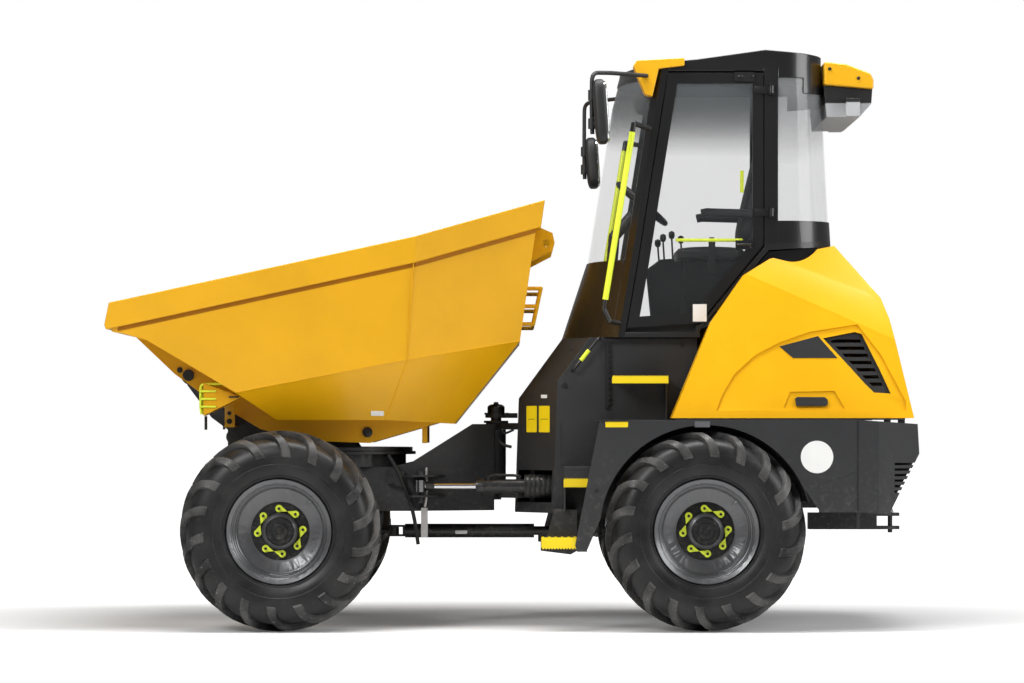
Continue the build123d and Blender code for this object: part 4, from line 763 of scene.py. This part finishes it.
# the steering ram lies along x at one height: bellows of radius r + a cos(t), gland with its pipe, rod sleeve, pin
ram = Table(
    y=0.45, z=0.831, boot=(-0.266, -0.066), bootRadius=0.0685, fold=0.0014, folds=7,
    gland=[(0.0415, 0.17), (0.047, 0.173), (0.047, 0.216), (0.043, 0.226), (0.0185, 0.227)],
    port=[(0.014, 0.865), (0.014, 0.887), (0.0001, 0.889)], ports=(0.15, -0.035),
    pipe=[(0.15, 0.45, 0.883), (0.128, 0.454, 0.895), (-0.01, 0.454, 0.895), (-0.04, 0.45, 0.885)],
    pipeRadius=0.009, pipeBend=0.03, sleeve=[(0.0185, 0.47), (0.027, 0.472), (0.027, 0.52), (0.0185, 0.523)],
    pin=((-0.4, 0.45, 0.884), 0.013, "Z"))
ramAxis = (0, ram.y, ram.z)
along = np.linspace(*ram.boot, ram.folds * 8 + 1)
turn = (along - along[0]) / (along[-1] - along[0]) * tau * ram.folds
bellows = np.stack([ram.bootRadius + ram.fold * np.cos(turn), along], -1)
piece("ramBoot", lathe(bellows, "X", ramAxis, 32, flip=True), "rubber", "steering_ram_barrel")
ports = [lathe(ram.port, "Z", (x, ram.y, 0), 12, flip=True) for x in ram.ports]
gland = lathe(ram.gland, "X", ramAxis, 32, flip=True)
piece("ramGland", together(gland, *ports, tube(ram.pipe, ram.pipeRadius, 10, ram.pipeBend)), "black",
    "steering_ram_barrel")
piece("ramSleeve", lathe(ram.sleeve, "X", ramAxis, 28, flip=True), "black", "steering_ram_rod")
piece("ramBasePin", bolt(*ram.pin), "zinc")

# front frame: a tilted box of valves and its foot, a strap, a flat stay and a bent strut
valves = turned(block((0.655, 0.352, 0.835), (0.745, 0.395, 0.925)), "Y", -12, (0.7, 0.37, 0.88))
valveBolts = [(0.672, 0.905), (0.728, 0.893), (0.665, 0.858), (0.72, 0.848)]
strap = [(0.746, 0.4, 1.015), (0.69, 0.402, 0.925), (0.622, 0.402, 0.76), (0.59, 0.4, 0.64),
    (0.568, 0.398, 0.484)]
strut = [(0.53, 0.353, 0.705), (0.52, 0.362, 0.76), (0.52, 0.357, 0.94)]
fitted(dict(
    valveBox=("plastic", valves, block((0.565, 0.352, 0.7), (0.6, 0.356, 0.905)), bolts(valveBolts, 0.395, 0.008)),
    frameStrap=("rubber", tube(strap, 0.0115, 12, bend=0.09)),
    frameStay=("zinc", block((0.512, 0.351, 0.524), (0.552, 0.358, 0.7))),
    frameStrut=("zinc", tube(strut, 0.009, 10, bend=0.03))), "front_frame", together)
print("middle dressed")


# the tower under the cab: a row of studs, a plug and bolts, a handle with its grip, and a toothed post
towerFace = 0.6
studs = [disc((-0.278, towerFace, z), 0.005, 0.003, 10) for z in np.arange(0.96, 1.2, 0.034)]
towerBolts = [(-0.34, 1.64), (-0.34, 0.72), (-0.46, 0.72), (-0.99, 1.66), (-0.99, 1.28)]
handle = [(-0.345, towerFace, 1.512), (-0.35, 0.65, 1.518), (-0.498, 0.652, 1.704), (-0.503, towerFace, 1.702)]
fitted(dict(
    towerBolts=("black", *studs, disc((-0.3, towerFace, 1.425), 0.016, 0.008), bolts(towerBolts, towerFace, 0.009)),
    towerHandle=("black", tube(handle, 0.009, 12, bend=0.03)),
    towerGrip=("bright", tube([(-0.393, 0.6515, 1.5725), (-0.441, 0.6515, 1.633)], 0.0125, 14))))
post = Table(front=-0.536, back=-0.556, tip=-0.571, root=-0.558, foot=1.29, top=1.69, first=1.68, pitch=0.032,
    teeth=12, span=(0.6005, 0.622), ledge=((-1.05, 0.6005, 1.68), (-0.536, 0.628, 1.7)))
outline = [(post.front, post.foot), (post.front, post.top), (post.back, post.top)]
for z in [post.first - post.pitch * k for k in range(post.teeth)]:
    outline += [(post.tip, z), (post.tip, z - 0.014), (post.root, z - 0.016), (post.root, z - 0.03)]
outline += [(post.back, post.foot)]
piece("toothedPost", both(plate(outline, *post.span), block(*post.ledge)), "black")


# treads: a plate with a row of small teeth along its upper edge
def toothed(low, high, count, tooth=0.007):
    (x0, y0, z0), (x1, y1, z1) = low, high
    step = (x1 - x0) / count
    edge = [(x0 + step * (k + share), z1 - tooth * drop)
            for k in range(count) for share, drop in ((0.1, 0), (0.55, 0), (0.75, 1))]
    return plate([(x0, z0)] + edge + [(x1, z1 - tooth), (x1, z0)], y0, y1)


fitted(dict(
    yellowTreads=("label", toothed((-0.9, 0.8405, 1.436), (-0.572, 0.846, 1.481), 24),
                  toothed((-0.48, 0.941, 0.832), (-0.288, 0.946, 0.884), 14)),
    treadBracket=("grey", block((-0.478, 0.936, 0.88), (-0.29, 0.941, 0.93)))))
# the bottom step's tread: a toothed front plate, two ends and a top with raised bars
bottom = Table(inner=(-0.362, 0.893), outer=(-0.158, 1.09), face=1.096, tip=0.478, foot=0.486, end=0.49, skin=0.541,
    top=0.545, wall=0.006, teeth=12, bars=(-0.345, -0.195, 5), bar=0.022, barSpan=(0.93, 1.07), barTop=0.549)
(x0, y0), (x1, y1), tip, foot, top = bottom.inner, bottom.outer, bottom.tip, bottom.foot, bottom.top
outline = [(x0, top), (x0, foot)]
for x in np.linspace(x0, x1, bottom.teeth, endpoint=False):
    outline += [(x + 0.003, tip), (x + 0.01, tip), (x + 0.014, foot)]
outline += [(x1, foot), (x1, top)]
ends = [block((x, y0, bottom.end), (x + bottom.wall, y1, top)) for x in (x0, x1 - bottom.wall)]
bars = [block((x, bottom.barSpan[0], top), (x + bottom.bar, bottom.barSpan[1], bottom.barTop))
    for x in np.linspace(*bottom.bars)]
fitted(dict(
    bottomTread=("label", plate(outline, y1, bottom.face), *ends, block((x0, y0, bottom.skin), (x1, y1, top))),
    bottomTreadBars=("black", *bars)))
print("tower and treads dressed")

# mudguards and bumper: pressed creases, bolts and a clip, a rubber strip, bars of the rear lamps, the hitch pin's
# head; then dark closures: a seal under the bonnet, a wall inside each rear tyre, backing behind the bumper's slots,
# and a panel under the cab's rear floor
lampBars = [block((-2.354, 0.57 + 0.062 * k, 1.092), (-2.35, 0.622 + 0.062 * k, 1.143)) for k in range(3)]
arch = Table(x=-1.106, z=0.58, inner=0.5, outer=0.613, end=0.25)
turn = np.linspace(arch.end, math.pi - arch.end, 40)
wall = [(arch.x + r * math.cos(t), arch.z + r * math.sin(t))
        for r, run in ((arch.outer, turn), (arch.inner, turn[::-1])) for t in run]
fitted(dict(
    guardTrim=("black", tube([(-1.735, 1.1105, 0.838), (-1.965, 1.1105, 0.922)], 0.003, 8),
        bolts([(-0.475, 0.818), (-0.475, 0.56)], 1.11, 0.01), block((-0.655, 1.1105, 1.213), (-0.5, 1.118, 1.221)),
        tube([(-1.979, 1.111, 1.216), (-1.979, 1.111, 0.7)], 0.0035, 8)),
    guardRubbers=("rubber", block((-1.992, 1.094, 0.6), (-1.972, 1.108, 0.7))),
    tailLenses=("red", *lampBars[:2]),
    tailIndicators=("amber", lampBars[2]),
    bonnetSeal=("rubber", block((-2.262, 0.98, 1.2225), (-0.93, 1.0, 1.2312))),
    archWalls=("rubber", plate(wall, 0.652, 0.657)),
    bumperBacking=("rubber", plate([(-2.19, 0.79), (-2.222, 0.79), (-2.324, 0.985), (-2.19, 0.985)], 0.705, 0.9))))
fitted(dict(
    hitchPinHead=("zinc", bolt((-2.275, 0, 0.667), 0.018, "Z"),
        tube([(-2.275, 0.0, 0.712), (-2.262, 0.03, 0.722), (-2.25, 0.05, 0.7)], 0.004, 8, bend=0.02)),
    floorSkirt=("black", plate([(-1.15, 1.78), (-1.5, 2.214), (-1.86, 2.242), (-1.86, 2.09), (-1.5, 2.02)],
        -0.6, 0.6))), made=together)
print("mudguards and bumper dressed")


# the cab's outside: visor screws, work lamps, the door's hinge, latch and handle, rail sleeves, seal and stickers
workLamp = [(0.0001, -0.052), (0.036, -0.05), (0.05, -0.036), (0.056, 0.0), (0.058, 0.03), (0.052, 0.034)]
lampAt = (-2.0, 0.5, 3.07)
fitted(dict(
    visorScrews=("black", bolts([(-1.86, 3.29), (-2.03, 3.235)], 0.6005, 0.008)),
    workLamps=("plastic", turned(lathe(workLamp, "X", lampAt, 28), "Y", 180, lampAt),
        tube([(-1.985, 0.5, 3.1), (-1.985, 0.5, 3.165)], 0.012, 10)),
    railSleeves=("bright", tube([(-0.692, 0.78, 2.905), (-0.534, 0.78, 1.925)], 0.0175, 16)),
    doorSill=("rubber", block((-1.08, 0.6, 1.732), (-0.636, 0.634, 1.79)))))
doorBolts = [(-1.4, 3.235), (-1.34, 3.235), (-1.318, 3.235), (-1.39, 2.232), (-1.312, 2.268)]
handle = [(-1.31, 0.7, 2.249), (-1.306, 0.73, 2.249), (-1.385, 0.732, 2.249), (-1.392, 0.7, 2.249)]
rail = [(-0.96, 0.655, 2.281), (-0.96, 0.605, 2.281), (-1.335, 0.605, 2.281), (-1.335, 0.655, 2.281)]
fitted(dict(
    doorHardware=("black", block((-1.412, 0.682, 3.208), (-1.295, 0.694, 3.262)),
        block((-1.4, 0.682, 2.222), (-1.3, 0.698, 2.276)), tube(handle, 0.008, 10, bend=0.02),
        bolts(doorBolts, 0.694, 0.007)),
    doorSticker=("white", block((-1.131, 0.6805, 1.8), (-1.05, 0.6815, 1.902))),
    brightRail=("bright", tube(rail, 0.01, 12, bend=0.02))), "door", together)
sealSet = Table(
    half=0.022, span=(0.626, 0.635), line=[(-0.662, 1.768), (-0.732, 2.161), (-0.88, 3.1), (-0.906, 3.252),
                                           (-1.468, 3.252), (-1.468, 2.265), (-1.082, 1.795)])
# the seal lies behind the door's seam: a strip to each side of the door's outline
strips = []
for (x0, z0), (x1, z1) in zip(sealSet.line, sealSet.line[1:] + sealSet.line[:1]):
    for half in (-sealSet.half, sealSet.half):
        dx, dz = np.array([z0 - z1, x1 - x0]) * half / math.hypot(x1 - x0, z1 - z0)
        strips.append(plate([(x0, z0), (x1, z1), (x1 + dx, z1 + dz), (x0 + dx, z0 + dz)], *sealSet.span))
fitted(dict(
    doorSeal=("rubber", *strips),
    postStrip=("bright", block((-1.352, 0.6255, 2.56), (-1.33, 0.6285, 2.69)))), made=together)
print("cab outside dressed")


# padded seat: a superellipsoid of stitched vinyl, |x/a|^n + |y/b|^n + |z/c|^n = 1, hollowed a little along its middle
def cushion(centre, size, power=5.0, rows=40, columns=56, dip=0.0):
    u = np.linspace(-math.pi / 2, math.pi / 2, rows)[:, None]
    v = np.linspace(-math.pi, math.pi, columns, endpoint=False)[None, :]

    def spread(value):
        return np.sign(value) * np.abs(value) ** (2 / power)

    x = size[0] / 2 * spread(np.cos(u)) * spread(np.cos(v))
    y = size[1] / 2 * spread(np.cos(u)) * spread(np.sin(v))
    z = size[2] / 2 * spread(np.sin(u)) * np.ones_like(v)
    z = z - dip * np.exp(-(y / (seat.dipWidth * size[1])) ** 2) * (z > 0)
    points = np.stack([x, y, z], -1).reshape(-1, 3) + np.asarray(centre, float)
    return points, gridFaces(rows, columns).tolist()


# a cloth simulation fills the cover: its held points stay, and no point moves further than the cap
def filled(shape, held, voxel, pressure, frames, cap):
    cover = meshObject("cover", shape)
    even = cover.modifiers.new("even", "REMESH")
    even.mode, even.voxel_size = "VOXEL", voxel
    cover.data = bpy.data.meshes.new_from_object(cover.evaluated_get(bpy.context.evaluated_depsgraph_get()))
    cover.modifiers.clear()
    start = np.array([vertex.co for vertex in cover.data.vertices])
    cover.vertex_groups.new(name="held").add(np.flatnonzero(held(start)).tolist(), 1.0, "REPLACE")
    cloth = cover.modifiers.new("fill", "CLOTH").settings
    cloth.use_pressure, cloth.uniform_pressure_force = True, pressure
    cloth.effector_weights.gravity = 0
    cloth.vertex_group_mass = "held"
    for frameNumber in range(1, frames + 1):
        scene.frame_set(frameNumber)
    blown = bpy.data.meshes.new_from_object(cover.evaluated_get(bpy.context.evaluated_depsgraph_get()))
    step = np.array([vertex.co for vertex in blown.vertices]) - start
    reach = np.linalg.norm(step, axis=1, keepdims=True)
    end = start + step * np.minimum(1.0, cap / np.maximum(reach, 1e-9))
    faces = [list(polygon.vertices) for polygon in blown.polygons]
    scene.frame_set(1)
    bpy.data.objects.remove(cover)
    print("pad filled:", len(end), "points")
    return end, faces


seat = Table(centre=(-1.18, 0, 2.217), size=(0.418, 0.474, 0.09), dip=0.012, dipWidth=0.27, power=5,
    back=(-1.462, 0, 2.625), backSize=(0.106, 0.454, 0.684), lean=13.5, foot=0.4, seam=0.13, seamWidth=0.006,
    seamRun=0.46, thread=0.0032)
fillSet = dict(voxel=0.0075, pressure=4.0, frames=20, cap=0.011)
pads = dict(
    seatPad=(seat.centre, seat.size, 2, seat.dip, "seat_cushion"),
    backPad=(seat.back, seat.backSize, 0, 0.0, "seat_back"))
seams = []
for name, (centre, size, out, dip, node) in pads.items():
    # held: the sewn lines on the face that points along the axis "out", and the side that rests on the frame
    def held(p):
        rise = p[:, out] - centre[out]
        sewn = (np.abs(np.abs(p[:, 1]) - seat.seam) < seat.seamWidth) & (rise > 0)
        return sewn | (rise < -seat.foot * size[out])

    shape = filled(cushion(centre, size, dip=dip), held, **fillSet)
    # threads follow the start shape's surface along the sewn lines
    share = np.linspace(-seat.seamRun, seat.seamRun, 24)
    rest = 1 - np.abs(2 * share) ** seat.power - (2 * seat.seam / size[1]) ** seat.power
    sag = dip * math.exp(-(seat.seam / (seat.dipWidth * size[1])) ** 2)
    threads = []
    for y in (-seat.seam, seat.seam):
        path = np.tile(np.array(centre, float), (len(share), 1))
        path[:, 1] = y
        path[:, out] += size[out] / 2 * rest ** (1 / seat.power) - sag
        path[:, 2 - out] += share * size[2 - out]
        threads.append(tube(path, seat.thread, 8))
    if name == "backPad":
        lean = ("Y", -seat.lean, seat.back)
        shape, threads = turned(shape, *lean), [turned(thread, *lean) for thread in threads]
    seams += threads
    pad = piece(name, shape, "vinyl", slot="seat_vinyl", smooth=60, replaces=(node,), subdivide=1)
piece("seatSeams", together(*seams), "rubber")
armRest = [(-1.42, 0.285, 2.44), (-1.38, 0.29, 2.455), (-1.15, 0.29, 2.462), (-1.12, 0.29, 2.455)]
piece("armRests", both(tube(armRest, 0.026, 14), tube([(-1.44, 0.24, 2.44), armRest[0]], 0.014, 12)), "vinyl")
piece("beltBuckle", together(block((-1.205, 0.245, 2.1), (-1.165, 0.262, 2.29)), block((-1.2, 0.243, 2.27),
    (-1.17, 0.264, 2.315))), "plastic")

# mirrors: rounded shells on bent arms, with their glass towards the rear; the right one hangs lower
mirror = Table(spans=((1, 2.811, 3.185), (-1, 2.687, 3.01)), arm=1.06, armRadius=0.0125, armBend=0.05, shell=1.08,
    shellX=-0.5, shellSize=(0.08, 0.198), paneX=-0.531, paneSize=(0.024, 0.176), paneEdge=0.03, turn=4,
    clamp=[(0.0001, -0.032), (0.022, -0.03), (0.022, 0.03), (0.0001, 0.032)], clampAt=(0.12, -0.09))
arms, panes = [], []
for hand, low, high in mirror.spans:
    middle, out, turn = (low + high) / 2, hand * mirror.arm, ("Y", mirror.turn)
    arms.append(tube([(-0.78, hand * 0.7, 3.24), (-0.56, hand * 0.95, 3.234), (-0.45, out, 3.225),
        (-0.448, out, middle), (-0.452, out, low + 0.06)], mirror.armRadius, 14, mirror.armBend))
    pivot = (mirror.shellX, 0, middle)
    shell = cushion((mirror.shellX, hand * mirror.shell, middle), (*mirror.shellSize, high - low), 4.0, 30, 40)
    arms.append(turned(shell, *turn, pivot))
    for z in (low + mirror.clampAt[0], high + mirror.clampAt[1]):
        arms.append(tube([(-0.446, out, z), (-0.48, hand * 1.062, z)], 0.02, 12))
        arms.append(lathe(mirror.clamp, "Z", (-0.449, out, z), 16, flip=True))
    pane = cushion((mirror.paneX, hand * mirror.shell, middle), (*mirror.paneSize, high - low - mirror.paneEdge), 5.0,
        24, 36)
    panes.append(turned(pane, *turn, pivot))
piece("mirrorArms", together(*arms), "plastic", slot="black_plastic", smooth=50, replaces=("mirrors",))
piece("mirrorFaces", together(*panes), "mirror", smooth=50)

# controls: the wheel's boss, knob, third spoke and stalk, levers with round knobs, a small screen and two pedals
wheelAt, wheelTilt, pedalTurn = (-0.775, 0, 2.53), 40, 38
boss = [(0.055, -0.03), (0.058, 0.002), (0.05, 0.016), (0.03, 0.021), (0.0001, 0.022)]
knob = [(0.008, 0.01), (0.01, 0.05), (0.02, 0.06), (0.02, 0.085), (0.0001, 0.092)]
wheelParts = together(
    lathe(boss, "Z", (0, 0, 0), 32, flip=True), lathe(knob, "Z", (0.0, 0.18, 0), 20, flip=True),
    tube([(-0.18, 0, 0), (0, 0, -0.008)], 0.01, 12),
    tube([(0, 0.04, -0.09), (0.02, 0.15, -0.08), (0.02, 0.19, -0.075)], [0.006, 0.007, 0.01], 12))
piece("wheelTrim", moved(turned(wheelParts, "Y", -wheelTilt), wheelAt), "plastic")
levers = [
    block((-0.79, -0.52, 2.3), (-0.765, -0.34, 2.43)), tube([(-0.79, -0.43, 2.14), (-0.78, -0.43, 2.32)], 0.012, 12),
    tube([(-0.7, 0.1, 1.765), (-0.67, 0.1, 1.8), (-0.64, 0.1, 1.85)], 0.01, 10),
    tube([(-0.69, -0.11, 1.765), (-0.66, -0.11, 1.83)], 0.01, 10)]
leverSet = Table(
    foot=2.2, lean=0.008, radius=0.006, knobSink=0.01,
    knob=[(0.0001, 0), (0.014, 0.004), (0.02, 0.022), (0.017, 0.044), (0.0001, 0.052)],
    rows=((-0.93, -0.46, 0.13), (-0.985, -0.5, 0.15), (-1.04, -0.46, 0.12), (-0.9, -0.52, 0.1)))
for x, y, height in leverSet.rows:
    tip, top = x + leverSet.lean, leverSet.foot + height
    levers.append(tube([(x, y, leverSet.foot), (tip, y, top)], leverSet.radius, 10))
    levers.append(lathe(leverSet.knob, "Z", (tip, y, top - leverSet.knobSink), 18, flip=True))
for y in (0.11, -0.11):
    pedal = block((-0.7, y - 0.05, 1.845), (-0.6, y + 0.05, 1.858))
    levers.append(turned(pedal, "Y", pedalTurn, (-0.65, 0, 1.85)))
piece("levers", together(*levers), "plastic", bevel=0.002)
print("interior made")
